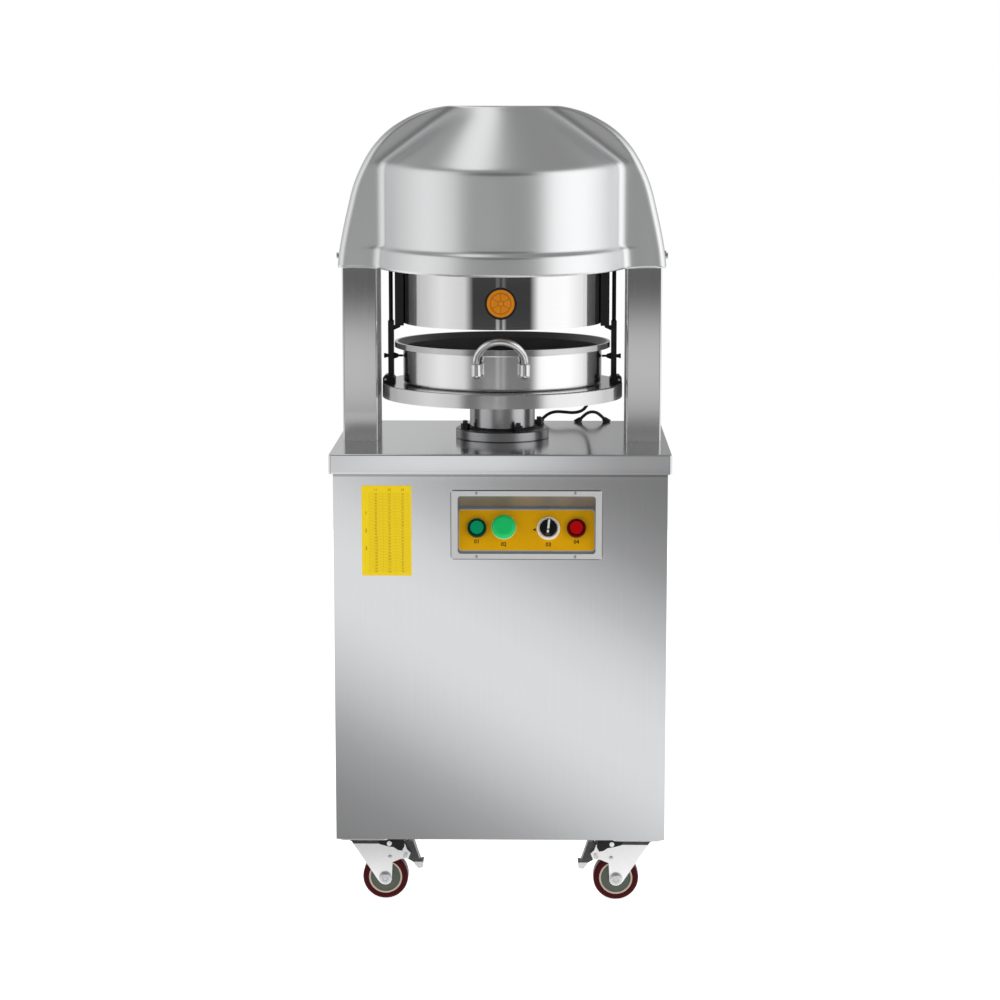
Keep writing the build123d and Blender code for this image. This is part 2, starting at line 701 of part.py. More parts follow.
def side_bars():
    """Flat bars with a cone-shaped boss for the screw, and a shoe that runs in the guide block's groove."""
    bar = block(BAR_X, (-BAR_Y, BAR_Y), (TRAY_TOP + BAR_SEAT, BAR_TOP))
    bar += front_profile(SHOE_OUTLINE, (-SHOE_Y, SHOE_Y))
    bar += along_screw(BOSS_PROFILE)
    bar -= side_rod(SCREW_TIP_R + RUN, (BOSS_PROFILE[0][0] - CUT, BAR_X[1]), 0, SCREW_Z)
    bar -= side_rod(SCREW_R + RUN, (BAR_X[0], BAR_X[1] + CUT), 0, SCREW_Z)
    return both_sides(bar)


def guide_rods():
    return both_sides(rod(ROD_R, (BAR_TOP, ROD_TOP), ROD_X))


def centring_screw(side):
    screw = along_screw(SCREW_PROFILE)
    return screw if side > 0 else mirror(screw, about=Plane.YZ)


def pan():
    """Spun bowl, and the thick flared lip that is welded round its neck as a second solid."""
    inner = PAN_R - PAN_WALL
    floor = TRAY_TOP + PAN_WALL
    weld = PAN_NECK - PAN_WALL
    bowl = turned([(0, TRAY_TOP), (PAN_R, TRAY_TOP), (PAN_R, weld), (inner, weld), (inner, floor), (0, floor)])
    rings = [e for e in bowl.edges() if e.geom_type == GeomType.CIRCLE]
    bowl = fillet([e for e in rings if abs(e.center().Z - floor) < RUN], PAN_CORNER_R)
    rings = [e for e in bowl.edges() if e.geom_type == GeomType.CIRCLE]
    bowl = fillet([e for e in rings if abs(e.center().Z - TRAY_TOP) < RUN], PAN_FOOT_R)
    lip = turned([(inner, weld), (PAN_R, weld), (PAN_LIP_R, weld + PAN_FLARE), (PAN_LIP_R, PAN_RIM),
                  (PAN_MOUTH_R, PAN_RIM), (inner, PAN_NECK)])
    return Compound(children=[bowl, lip])


def pan_handle():
    """A bow of round bar that leans out over the pan's lip, cut level where it enters its ferrules."""
    lean = radians(BOW_LEAN)
    plane = Plane(origin=(0, FERRULE_Y, FERRULE_Z[1]), x_dir=(1, 0, 0), z_dir=(0, -cos(lean), -sin(lean)))
    top = BOW_RISE / cos(lean)
    path = plane * FilletPolyline((-FERRULE_X, 0), (-FERRULE_X, top), (FERRULE_X, top), (FERRULE_X, 0),
                                  radius=BOW_CORNER_R)
    start = Plane(origin=path @ 0, z_dir=path % 0)
    bow = sweep(start * Circle(BOW_R), path=path)
    return bow - block((-FAR, FAR), (-FAR, FAR), (FERRULE_Z[0], FERRULE_Z[1]))


def handle_ferrules():
    """Sockets of the bow, each with a foot that is welded to the pan's wall."""
    ferrule = rod(FERRULE_R, FERRULE_Z, FERRULE_X, FERRULE_Y)
    mouth = ferrule.edges().filter_by(GeomType.CIRCLE).sort_by(Axis.Z)[-1]
    ferrule = fillet([mouth], FERRULE_EDGE_R)
    end = ferrule.edges().filter_by(GeomType.CIRCLE).sort_by(Axis.Z)[0]
    ferrule = fillet([end], FERRULE_END_R)
    half = FERRULE_FOOT
    foot = block((FERRULE_X - half, FERRULE_X + half), (FERRULE_Y, FERRULE_Y + 5 * half),
                 (FERRULE_Z[0] + half, FERRULE_Z[1] - half))
    return both_sides(ferrule + (foot - rod(PAN_R, FERRULE_Z)))


# Power pack in the cabinet
def motor():
    """Barrel with a fan cover at the front, a foot and a terminal box."""
    body = cross_rod(MOTOR_R, MOTOR_Y, MOTOR_X, MOTOR_Z)
    body += cross_rod(MOTOR_FAN_R, (MOTOR_FAN_Y, MOTOR_Y[0]), MOTOR_X, MOTOR_Z)
    half, front, rear, top = MOTOR_FOOT
    body += block((MOTOR_X - half, MOTOR_X + half), (front, rear), (FLOOR_IN, MOTOR_Z + top))
    half_x, half_y, low, high = TERMINAL_BOX
    return body + block((MOTOR_X - half_x, MOTOR_X + half_x), (-half_y, half_y),
                        (MOTOR_Z + low, MOTOR_Z + high))


def hydraulic_unit():
    """Gear pump on the motor's shaft end, and the valve block with its coils on the tank."""
    pump = cross_rod(PUMP_R, (MOTOR_Y[1], PUMP_END), MOTOR_X, MOTOR_Z)
    valve_top = TANK_TOP + VALVE_H
    valve = block(VALVE_X, (-VALVE_Y, VALVE_Y), (TANK_TOP, valve_top))
    coils = [rod(COIL_R, (valve_top, valve_top + COIL_H), sum(VALVE_X) / 2, y) for y in COIL_Y]
    return Compound(children=[pump, valve + coils])


def oil_tank():
    tank = block(TANK_X, TANK_Y, (FLOOR_IN, TANK_TOP))
    tank = fillet(tank.edges().filter_by(Axis.Z), TANK_CORNER_R)
    wall = TANK_WALL
    return tank - block((TANK_X[0] + wall, TANK_X[1] - wall), (TANK_Y[0] + wall, TANK_Y[1] - wall),
                        (FLOOR_IN + wall, TANK_TOP - wall))


def contactor_box():
    side = CABINET_SIDE - SHEET
    return block((side - CONTACTOR_DEPTH, side), CONTACTOR_Y, CONTACTOR_Z)


# Controls
def panel_plane():
    """Plane of the amber plate: it leans back, so its normal points forward and up."""
    low = Vector(PANEL_X, POCKET_LIP_Y, PANEL_Z - WINDOW_H / 2)
    high = Vector(PANEL_X, POCKET_DEEP_Y, POCKET_DEEP_Z)
    up = (high - low).normalized()
    normal = Vector(1, 0, 0).cross(up)
    return Plane(origin=(low + high) / 2, x_dir=(1, 0, 0), z_dir=normal)


def device(name, radius, low, high):
    """A round piece of one control, between two heights over the plate's back face."""
    return panel_plane() * Pos(DEVICES[name], DEVICE_V, (low + high) / 2) * Cylinder(radius, high - low)


def control_frame():
    y = (CABINET_FRONT - FRAME_T, CABINET_FRONT)
    outer = block((PANEL_X - FRAME_W / 2, PANEL_X + FRAME_W / 2), y,
                  (PANEL_Z - FRAME_H / 2, PANEL_Z + FRAME_H / 2))
    outer = fillet(outer.edges().filter_by(Axis.Y), FRAME_CORNER_R)
    outer = chamfer(outer.faces().sort_by(Axis.Y)[0].edges(), FRAME_EDGE)
    window = block((PANEL_X - WINDOW_W / 2, PANEL_X + WINDOW_W / 2), (y[0] - CUT, y[1] + CUT),
                   (PANEL_Z - WINDOW_H / 2, PANEL_Z + WINDOW_H / 2))
    return outer - fillet(window.edges().filter_by(Axis.Y), WINDOW_CORNER_R)


def control_pocket():
    """Sheet pocket behind the window: a sloped top wall, two side walls and the back that holds the plate."""
    top, low = PANEL_Z + WINDOW_H / 2, PANEL_Z - WINDOW_H / 2
    half = WINDOW_W / 2
    t = POCKET_T
    outer = [(CABINET_FRONT, top + t), (POCKET_DEEP_Y + t, POCKET_DEEP_Z + t / 2),
             (POCKET_LIP_Y + 2 * t, low - t), (CABINET_FRONT, low - t)]
    inner = [(CABINET_FRONT - CUT, top), (CABINET_FRONT, top), (POCKET_DEEP_Y, POCKET_DEEP_Z),
             (POCKET_LIP_Y, low), (CABINET_FRONT - CUT, low)]
    pocket = side_profile(outer, (PANEL_X - half - t, PANEL_X + half + t))
    pocket -= side_profile(inner, (PANEL_X - half, PANEL_X + half))
    for name in DEVICES:
        pocket -= device(name, DEVICE_HOLE_R + SLACK, NECK_BACK, -NECK_BACK)
    return pocket


def control_plate():
    plane = panel_plane()
    height = sqrt((POCKET_DEEP_Z - PANEL_Z + WINDOW_H / 2) ** 2 + (POCKET_DEEP_Y - POCKET_LIP_Y) ** 2)
    sheet = Box(WINDOW_W - 2 * PLATE_SIDE_GAP, height - 2 * PLATE_END_GAP, PLATE_T)
    sheet = fillet(sheet.edges().filter_by(Axis.Z), AMBER_CORNER_R)
    plate = plane * Pos(0, 0, PLATE_T / 2) * sheet
    for name in DEVICES:
        plate -= device(name, DEVICE_HOLE_R + SLACK, NECK_BACK, -NECK_BACK)
    return plate


def device_bezels():
    """Fixed rims of the four controls, each with its threaded neck and contact block behind the plate."""
    rims = {"start": (BUTTON_BEZEL_R, BEZEL_H), "run": (BUTTON_BEZEL_R, RUN_BEZEL_H),
            "selector": (SELECTOR_RING_R, SELECTOR_RING_H), "stop": (BUTTON_BEZEL_R, BEZEL_H)}
    width, depth = CONTACT_BLOCK
    pieces = []
    for name, (radius, height) in rims.items():
        piece = device(name, radius, PLATE_T, PLATE_T + height)
        piece += device(name, DEVICE_HOLE_R, NECK_BACK, PLATE_T)
        behind = Pos(DEVICES[name], DEVICE_V, NECK_BACK - depth / 2)
        piece += panel_plane() * behind * Box(width, width, depth)
        piece -= device(name, STEM_IN_R + SLACK, STEM_BORE, BUTTON_BEZEL_R)
        if name in ("start", "stop"):
            piece -= device(name, BUTTON_CAP_R + SLACK, PLATE_T - CAP_WELL, BUTTON_BEZEL_R)
        pieces.append(piece)
    return Compound(children=pieces)


def button_cap(name):
    cap = device(name, BUTTON_CAP_R, PLATE_T + CAP_LIFT, PLATE_T + BEZEL_H + CAP_PROUD)
    return cap + device(name, STEM_IN_R, STEM_BACK, PLATE_T + CAP_LIFT)


def mushroom_button():
    """Domed head that clears its rim by one millimetre when it is pushed in."""
    base = PLATE_T + RUN_BEZEL_H + CAP_TRAVEL + CAP_LIFT
    head = Pos(0, 0, MUSHROOM_H / 2) * Cylinder(MUSHROOM_R, MUSHROOM_H)
    crown = head.edges().filter_by(GeomType.CIRCLE).sort_by(Axis.Z)[-1]
    head = fillet([crown], MUSHROOM_CROWN_R)
    rim = head.edges().filter_by(GeomType.CIRCLE).sort_by(Axis.Z)[0]
    head = panel_plane() * Pos(DEVICES["run"], DEVICE_V, base) * fillet([rim], MUSHROOM_RIM_R)
    return head + device("run", STEM_IN_R, STEM_BACK, base + CUT)


def selector_knob():
    base = PLATE_T + SELECTOR_RING_H + KNOB_SEAT
    knob = device("selector", KNOB_R, base, base + KNOB_H)
    knob += device("selector", STEM_IN_R, KNOB_STEM, base + CUT)
    place = Pos(DEVICES["selector"], DEVICE_V, base + KNOB_H + GRIP_H / 2 - CUT / 2)
    grip = place * Rot(0, 0, SELECTOR_ANGLE) * Box(GRIP_W, 2 * KNOB_R - 2 * CUT, GRIP_H)
    return knob + panel_plane() * grip


def chart_plate():
    return block(CHART_X, (CABINET_FRONT - CHART_T, CABINET_FRONT), CHART_Z)


# Leads
def tube_path(points):
    """Straight runs joined by arcs as large as the runs allow; prints the radii."""
    spots = [Vector(*p) for p in points]
    radii = []
    for before, here, after in zip(spots, spots[1:], spots[2:]):
        into, out = here - before, after - here
        half_turn = radians(into.get_angle(out)) / 2
        radii.append(LEAD_FILL * min(into.length, out.length) / tan(half_turn))
    print("lead bend radii", [round(r, 1) for r in radii])
    return FilletPolyline(*points, radius=radii)


def lead(points):
    path = tube_path(points)
    start = Plane(origin=path @ 0, z_dir=path % 0)
    tube = sweep(start * Circle(LEAD_R), path=path)
    print("lead length", round(path.length, 1), "volume ratio",
          round(tube.volume / (pi * LEAD_R ** 2 * path.length), 4))
    return tube


def lead_grommets():
    """Tapered rubber grommets, each cut level with the tabletop."""
    rise = SENSOR_LEAD[0][2] - TABLE_UNDER
    ends = [(SENSOR_LEAD[0], -rise), (SWITCH_LEAD[0], -rise), (SWITCH_LEAD[-1], rise)]
    grommets = []
    for (x, y, z), run in ends:
        root = Vector(x + run, y, z - rise)
        tip = Vector(x, y, z)
        plane = Plane(origin=root, z_dir=tip - root)
        taper = loft([plane * Circle(GROMMET_R), plane.offset((tip - root).length) * Circle(GROMMET_TIP_R)])
        grommets.append(taper - block((-FAR, FAR), (-FAR, FAR), (TABLE_TOP - FAR, TABLE_TOP)))
    return Compound(children=grommets)


def tray_sensor():
    x = (SENSOR_X - SENSOR_HALF_W, SENSOR_X + SENSOR_HALF_W)
    return block(x, SENSOR_Y, (SENSOR_BOTTOM, TRAY_TOP - TRAY_PLATE))


# Casters
def caster_u(points):
    """Turns (distance inboard of the swivel axis, height) into (x, height) on the right side."""
    return [(SWIVEL_X - u, z) for u, z in points]


def caster_fork():
    """Two cheeks under a crown, with the swivel race, the kingpin and the axle bolt."""
    wheel_x = SWIVEL_X - TRAIL
    outer = FORK_GAP + FORK_T
    fork = front_profile(caster_u(FORK_OUTLINE), (-outer, -FORK_GAP))
    fork += front_profile(caster_u(FORK_OUTLINE), (FORK_GAP, outer))
    fork += block((SWIVEL_X - CROWN_U[1], SWIVEL_X - CROWN_U[0]), (-outer, outer),
                  (FORK_TOP - CROWN_T, FORK_TOP))
    fork += rod(FORK_RACE_R, (FORK_TOP - FORK_RACE_T, FORK_TOP), SWIVEL_X)
    fork += rod(KINGPIN_R, (FORK_TOP - CUT, CABINET_BOTTOM - CUT), SWIVEL_X)
    through = (-outer - CUT, outer + CUT)
    fork -= cross_rod(PEDAL_PIN_R + RUN, through, SWIVEL_X - PEDAL_PIVOT[0], PEDAL_PIVOT[1])
    fork += cross_rod(AXLE_R, through, wheel_x, WHEEL_R)
    for y in ((-outer - AXLE_HEAD, -outer), (outer, outer + AXLE_HEAD)):
        fork += cross_rod(AXLE_HEAD_R, y, wheel_x, WHEEL_R)
    return fork


def caster_wheel():
    """Tread bonded round a hub, as two solids."""
    wheel_x = SWIVEL_X - TRAIL
    tread = cross_rod(WHEEL_R, (-WHEEL_W / 2, WHEEL_W / 2), wheel_x, WHEEL_R)
    tread = fillet(tread.edges().filter_by(GeomType.CIRCLE), TREAD_EDGE_R)
    tread -= cross_rod(HUB_R, (-WHEEL_W, WHEEL_W), wheel_x, WHEEL_R)
    hub = cross_rod(HUB_R, (-HUB_W / 2, HUB_W / 2), wheel_x, WHEEL_R)
    hub += cross_rod(HUB_BOSS_R, (-HUB_BOSS_W / 2, HUB_BOSS_W / 2), wheel_x, WHEEL_R)
    hub -= cross_rod(AXLE_R + RUN, (-HUB_BOSS_W, HUB_BOSS_W), wheel_x, WHEEL_R)
    return Compound(children=[tread, hub])


def caster_pedal():
    pedal = front_profile(caster_u(PEDAL_OUTLINE), (-PEDAL_HALF_W, PEDAL_HALF_W))
    pin_end = FORK_GAP + FORK_T + PEDAL_PIN_END
    return pedal + cross_rod(PEDAL_PIN_R, (-pin_end, pin_end), SWIVEL_X - PEDAL_PIVOT[0], PEDAL_PIVOT[1])


def caster_plates():
    plates = []
    for side in (-1, 1):
        for y in (-SWIVEL_Y, SWIVEL_Y):
            x = side * SWIVEL_X
            z = (CABINET_BOTTOM - PLATE_THICK, CABINET_BOTTOM)
            plate = block((x - PLATE_W / 2, x + PLATE_W / 2), (y - PLATE_D / 2, y + PLATE_D / 2), z)
            plate = fillet(plate.edges().filter_by(Axis.Z), PLATE_CORNER_R)
            plate += rod(RACE_R, (FORK_TOP + GAP, z[0]), x, y)
            plates.append(plate - rod(KINGPIN_R + RUN, (FORK_TOP, CABINET_BOTTOM + CUT), x, y))
    return Compound(children=plates)


def at_corner(shape, side, y):
    piece = shape if side > 0 else mirror(shape, about=Plane.YZ)
    return Pos(0, y, 0) * piece


NODES = {
    "cabinet_shell": cabinet_shell(), "base_plate": base_plate(), "power_gland": power_gland(),
    "rear_panel": rear_panel(), "cover_screws": cover_screws(), "tabletop": tabletop(), "left_post": post(-1),
    "right_post": post(1), "head_beam": head_beam(), "hood": hood(), "head_drum": head_drum(),
    "badge": badge(), "guide_blocks": guide_blocks(), "press_cylinder": press_cylinder(),
    "press_pads": press_pads(),
    "press_platen": press_platen(), "knife_grid": knife_grid(), "knife_carrier": knife_carrier(),
    "knife_rod": knife_rod(), "lift_cylinder": lift_cylinder(),
    "base_flange": base_flange(), "flange_bolts": flange_bolts(), "lift_ram": lift_ram(), "tray": tray(),
    "tray_lugs": tray_lugs(), "side_bars": side_bars(), "guide_rods": guide_rods(),
    "left_centring_screw": centring_screw(-1), "right_centring_screw": centring_screw(1), "pan": pan(),
    "pan_handle": pan_handle(), "handle_ferrules": handle_ferrules(), "motor": motor(),
    "hydraulic_unit": hydraulic_unit(), "oil_tank": oil_tank(), "contactor_box": contactor_box(),
    "control_frame": control_frame(), "control_pocket": control_pocket(), "control_plate": control_plate(),
    "device_bezels": device_bezels(), "start_button": button_cap("start"), "stop_button": button_cap("stop"),
    "mushroom_button": mushroom_button(), "selector_knob": selector_knob(), "chart_plate": chart_plate(),
    "sensor_lead": lead(SENSOR_LEAD), "switch_lead": lead(SWITCH_LEAD), "lead_grommets": lead_grommets(),
    "tray_sensor": tray_sensor(), "caster_plates": caster_plates(),
}
CORNERS = {"front_left": (-1, -SWIVEL_Y), "front_right": (1, -SWIVEL_Y), "rear_left": (-1, SWIVEL_Y),
           "rear_right": (1, SWIVEL_Y)}
for corner, (side, y) in CORNERS.items():
    NODES[corner + "_fork"] = at_corner(caster_fork(), side, y)
    NODES[corner + "_wheel"] = at_corner(caster_wheel(), side, y)
    if corner.startswith("front"):
        NODES[corner + "_pedal"] = at_corner(caster_pedal(), side, y)

os.makedirs("parts", exist_ok=True)
for name, shape in NODES.items():
    export_step(shape, "parts/" + name + ".step")
print(len(NODES), "nodes")
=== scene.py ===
from math import asin, atan2, cos, pi, radians, sin, sqrt, tan

import bmesh
import bpy
from mathutils import Matrix, Vector


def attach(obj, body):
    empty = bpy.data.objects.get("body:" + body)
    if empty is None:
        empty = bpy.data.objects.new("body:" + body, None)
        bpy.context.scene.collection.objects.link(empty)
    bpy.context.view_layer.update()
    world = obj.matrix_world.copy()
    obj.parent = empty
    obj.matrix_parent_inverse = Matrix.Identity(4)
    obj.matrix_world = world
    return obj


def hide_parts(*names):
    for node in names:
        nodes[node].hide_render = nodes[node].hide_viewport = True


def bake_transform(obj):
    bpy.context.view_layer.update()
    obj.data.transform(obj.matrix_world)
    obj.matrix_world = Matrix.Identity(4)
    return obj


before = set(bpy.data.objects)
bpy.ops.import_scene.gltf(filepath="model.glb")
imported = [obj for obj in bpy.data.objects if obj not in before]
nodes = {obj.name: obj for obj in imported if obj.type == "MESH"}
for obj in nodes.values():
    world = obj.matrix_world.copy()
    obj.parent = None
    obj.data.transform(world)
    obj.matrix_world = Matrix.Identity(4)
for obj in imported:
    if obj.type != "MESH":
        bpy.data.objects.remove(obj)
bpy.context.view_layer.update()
scene = bpy.context.scene


# The studio: white paper behind, two tall softboxes at the sides, one overhead, dark felt between them and
# the camera, and a reflector card low in front. Polished steel shows little else than these.
class Wire:
    """One socket of a node tree. Arithmetic on wires adds Math nodes."""

    def __init__(self, socket):
        self.socket = socket

    def node(self, kind, settings, sockets, output=0):
        """Adds a node of this kind, sets it up, then fills its sockets with values or other wires."""
        added = self.socket.id_data.nodes.new(kind)
        for name, value in settings.items():
            if name == "stops":
                ramp = added.color_ramp.elements
                while len(ramp) < len(value):
                    ramp.new(0.5)
                for stop, (place, colour) in zip(ramp, value):
                    stop.position = place
                    stop.color = colour
            else:
                setattr(added, name, value)
        for name, value in sockets.items():
            plug(added.inputs[name], value)
        return Wire(added.outputs[output])

    def math(self, operation, *others):
        """A Math node with this wire first."""
        return self.node("ShaderNodeMath", {"operation": operation}, dict(enumerate((self, *others))))

    def split(self):
        """The three coordinates of a vector."""
        apart = self.node("ShaderNodeSeparateXYZ", {}, {"Vector": self}).socket.node
        return [Wire(socket) for socket in apart.outputs]

    def ramp(self, stops):
        return self.node("ShaderNodeValToRGB", {"stops": stops}, {"Fac": self})

    def above(self, edge):
        return self.math("GREATER_THAN", edge)

    def most(self, other):
        return self.math("MAXIMUM", other)

    def size(self):
        return self.math("ABSOLUTE")

    def root(self):
        return self.math("SQRT")

    def fraction(self):
        return self.math("FRACT")

    def __add__(self, other):
        return self.math("ADD", other)

    __radd__ = __add__

    def __sub__(self, other):
        return self.math("SUBTRACT", other)

    def __rsub__(self, other):
        return self.node("ShaderNodeMath", {"operation": "SUBTRACT"}, {0: other, 1: self})

    def __mul__(self, other):
        return self.math("MULTIPLY", other)

    __rmul__ = __mul__

    def __truediv__(self, other):
        return self.math("DIVIDE", other)

    def __rtruediv__(self, other):
        return self.node("ShaderNodeMath", {"operation": "DIVIDE"}, {0: other, 1: self})


def plug(socket, value):
    """Links a wire to a socket, or sets the socket's own value."""
    if isinstance(value, Wire):
        socket.id_data.links.new(value.socket, socket)
    else:
        socket.default_value = value


def rgb(red, green, blue):
    return (red, green, blue, 1.0)


def grey(level):
    return rgb(level, level, level)


def tint(share, low, high):
    """A colour between two colours."""
    return share.node("ShaderNodeMix", {"data_type": "RGBA"}, {0: share, 6: low, 7: high}, 2)


def bearing(degrees):
    """Where a direction stands on the wall's ramp: 0 is towards the camera, and positive is to its right."""
    return 0.5 + degrees / 360


LOWEST_SINE = -0.25
SINE_SPAN = 0.75


def rise(sine):
    """Where the sine of a height angle, a number or a wire, stands on the ramps of the zones in front."""
    return (sine - LOWEST_SINE) / SINE_SPAN


# Brightness by bearing on the wall, then by height angle on the felt and on the narrow front, all in degrees.
WALL = [(-180, 0.50), (-177, 0.60), (-172, 0.60), (-166, 0.30), (-160, 0.30), (-152, 0.42), (-140, 0.60),
        (-118, 0.72), (-98, 0.84), (-74, 1.08), (-53, 0.95), (-38, 0.85), (38, 1.15), (50, 1.38), (80, 1.44),
        (106, 1.12), (123, 0.80), (140, 0.58), (152, 0.42), (160, 0.30), (166, 0.30), (172, 0.36),
        (178, 0.36), (180, 0.50)]
FELT = [(-12, 0.30), (-6.4, 0.30), (-6, 0.34), (-5.7, 0.20), (-5.35, 0.10), (-5, 0.05), (-3.4, 0.05),
        (-3, 0.30), (-2, 0.40), (0, 0.48), (5, 0.60), (10, 0.24), (15, 0.10), (30, 0.10)]
FELT_EDGE = (-43, -33, 33, 43)
FRONT = [(-12, 0.40), (-7.5, 0.20), (-7.1, 0.33), (-6.9, 0.50), (-6.5, 0.70), (-5.7, 0.74), (-5.2, 0.70),
         (-4.8, 0.50), (-4.35, 0.19), (-4.1, 0.135), (-3.5, 0.13), (-3, 0.36), (-2, 0.42), (-0.5, 0.27),
         (4, 0.27), (5.5, 0.36), (10, 0.36), (13, 0.12), (30, 0.10)]
FRONT_EDGE = (-6.6, -5.7, -2.9, -2.4, 0.6, 1.1, 3.7, 4.6)
ZONE_FADES = (0, 1, 1, 0) * 2
CEILING = 0.32
CEILING_FADE = (30, 50)
PAPER = 1.0
world = bpy.data.worlds.new("studio")
scene.world = world
world.use_nodes = True
around = Wire(world.node_tree.nodes.new("ShaderNodeTexCoord").outputs["Generated"])
across, deep, high = around.split()
azimuth = across.math("ARCTAN2", 0 - deep) / (2 * pi) + 0.5
room = azimuth.ramp([(bearing(angle), grey(level)) for angle, level in WALL])
for levels, edges in ((FELT, FELT_EDGE), (FRONT, FRONT_EDGE)):
    zone = rise(high).ramp([(rise(sin(radians(angle))), grey(level)) for angle, level in levels])
    facing = azimuth.ramp([(bearing(angle), grey(level)) for angle, level in zip(edges, ZONE_FADES)])
    room = tint(facing, room, zone)
overhead = high.ramp([(sin(radians(angle)), grey(share)) for share, angle in enumerate(CEILING_FADE)])
room = tint(overhead, room, grey(CEILING))
seen = room.node("ShaderNodeLightPath", {}, {}, "Is Camera Ray")
plug(world.node_tree.nodes["Background"].inputs["Color"], tint(seen, room, grey(PAPER)))
scene.view_settings.view_transform = "Standard"


def aimed(thing, spot, target):
    """Stands a light or the camera at a spot, turned to a target."""
    thing.location = spot
    thing.rotation_euler = (Vector(target) - Vector(spot)).to_track_quat("-Z", "Y").to_euler()
    scene.collection.objects.link(thing)
    return thing


TOP_SOFTBOX = (2.0, 0.85)
TOP_BRIGHTNESS = 0.95
TOP_SPOT = (-0.56, 0.1, 3.4)
TOP_TARGET = (0, 0, 0.9)
top_light = bpy.data.lights.new("top_softbox", "AREA")
top_light.shape = "RECTANGLE"
top_light.size, top_light.size_y = TOP_SOFTBOX
top_light.energy = TOP_BRIGHTNESS * pi * TOP_SOFTBOX[0] * TOP_SOFTBOX[1]
top_softbox = aimed(bpy.data.objects.new("top_softbox", top_light), TOP_SPOT, TOP_TARGET)
top_softbox.visible_camera = False


def fresh(name):
    """A new material and a wire of the piece's own coordinates, in metres."""
    made = bpy.data.materials.new(name)
    made.use_nodes = True
    return made, Wire(made.node_tree.nodes.new("ShaderNodeTexCoord").outputs["Object"])


def finish(made, **inputs):
    """Fills the shader's inputs; underscores in the names stand for spaces."""
    shader = made.node_tree.nodes["Principled BSDF"]
    for key, value in inputs.items():
        plug(shader.inputs[key.replace("_", " ")], value)
    return made


def noise(spot, scale, detail=2.0, stretch=(1, 1, 1)):
    """Noise over the piece; a large stretch shortens it along that axis."""
    placed = spot.node("ShaderNodeMapping", {}, {"Vector": spot, "Scale": stretch})
    return placed.node("ShaderNodeTexNoise", {}, {"Vector": placed, "Scale": scale, "Detail": detail})


def stood(name, outline, made):
    """A flat thing of the studio, which isn't part of the machine."""
    mesh = bpy.data.meshes.new(name)
    mesh.from_pydata(outline, [], [range(len(outline))])
    mesh.materials.append(made)
    thing = bpy.data.objects.new(name, mesh)
    scene.collection.objects.link(thing)
    return thing


FLOOR_R = 3.6
FLOOR_SIDES = 96
FLOOR_GLOW = 0.85
floor_paper, spot = fresh("floor_paper")
finish(floor_paper, Base_Color=tint(noise(spot, scale=40.0), grey(0.85), grey(0.87)), Roughness=0.9,
       Emission_Color=grey(1.0), Emission_Strength=FLOOR_GLOW)
stood("floor", [(FLOOR_R * cos(2 * pi * k / FLOOR_SIDES), FLOOR_R * sin(2 * pi * k / FLOOR_SIDES), 0)
                for k in range(FLOOR_SIDES)], floor_paper)

# The card's tone changes in slanted bands near the machine and across it at the far end. A band is named by
# the height at which the cabinet's front mirrors it, on a scale that fits the lens.
CARD_OUTLINE = [(-2.0, -6.05, 0.004), (2.0, -6.05, 0.004), (2.0, -0.35, 0.004), (-2.0, -0.35, 0.004)]
CARD = [(380, 0.23), (434, 0.30), (480, 0.41), (512, 0.56), (552, 0.73), (570, 0.83), (600, 0.94),
        (640, 1.02), (690, 1.02), (713, 0.985), (742, 0.89), (767, 0.79), (784, 0.71), (807, 0.594),
        (830, 0.50), (846, 0.455), (880, 0.367), (918, 0.317), (940, 0.29)]
BAND_START = 380
BAND_SPAN = 560
BAND_OFFSET = 120
BAND_SCALE = 2565
BAND_RISE = 0.1629
BAND_SLANT = 0.57
BAND_HEIGHT = 0.6995
MIRROR_AWAY = 4.0132
MIRROR_DEPTH = 0.988
CARD_END = -5.19
CARD_FAR = [(-0.705, 0.80), (-0.53, 0.93), (-0.383, 0.99), (-0.236, 0.97), (-0.09, 0.94), (0.056, 0.785),
            (0.203, 0.60), (0.35, 0.455), (0.526, 0.40)]
FAR_START = 0.8
FAR_SPAN = 1.4
card_paper, spot = fresh("card_paper")
card_x, card_y, _ = spot.split()
card_height = card_y * BAND_RISE - card_x * BAND_SLANT + BAND_HEIGHT
card_band = card_height / (MIRROR_AWAY - card_y * MIRROR_DEPTH) * BAND_SCALE
near = ((card_band + BAND_OFFSET) / BAND_SPAN).ramp([((band - BAND_START) / BAND_SPAN, grey(level))
                                                     for band, level in CARD])
far = ((card_x + FAR_START) / FAR_SPAN).ramp([((place + FAR_START) / FAR_SPAN, grey(level))
                                              for place, level in CARD_FAR])
finish(card_paper, Base_Color=grey(0.0), Roughness=1.0, Emission_Strength=1.0,
       Emission_Color=tint(card_y.above(CARD_END), far, near))
card = stood("reflector_card", CARD_OUTLINE, card_paper)
card.visible_camera = False
card.visible_diffuse = False
card.visible_transmission = False
card.visible_shadow = False

CAMERA_SPOT = (0.070, -4.286, 1.308)
CAMERA_TARGET = (-0.004, 0.0, 0.644)
lens = bpy.data.cameras.new("camera")
lens.sensor_width = 36.0
lens.lens = 92.34
scene.camera = aimed(bpy.data.objects.new("camera", lens), CAMERA_SPOT, CAMERA_TARGET)


# Two thin black leads at the rear of the tabletop, with soft rubber jackets. Each comes out of a tapered
# grommet; one runs up to the sensor under the tray, the other makes a small arch
# to the next grommet.
def lead_mesh(line):
    return bpy.data.meshes.new_from_object(line.evaluated_get(bpy.context.evaluated_depsgraph_get()))


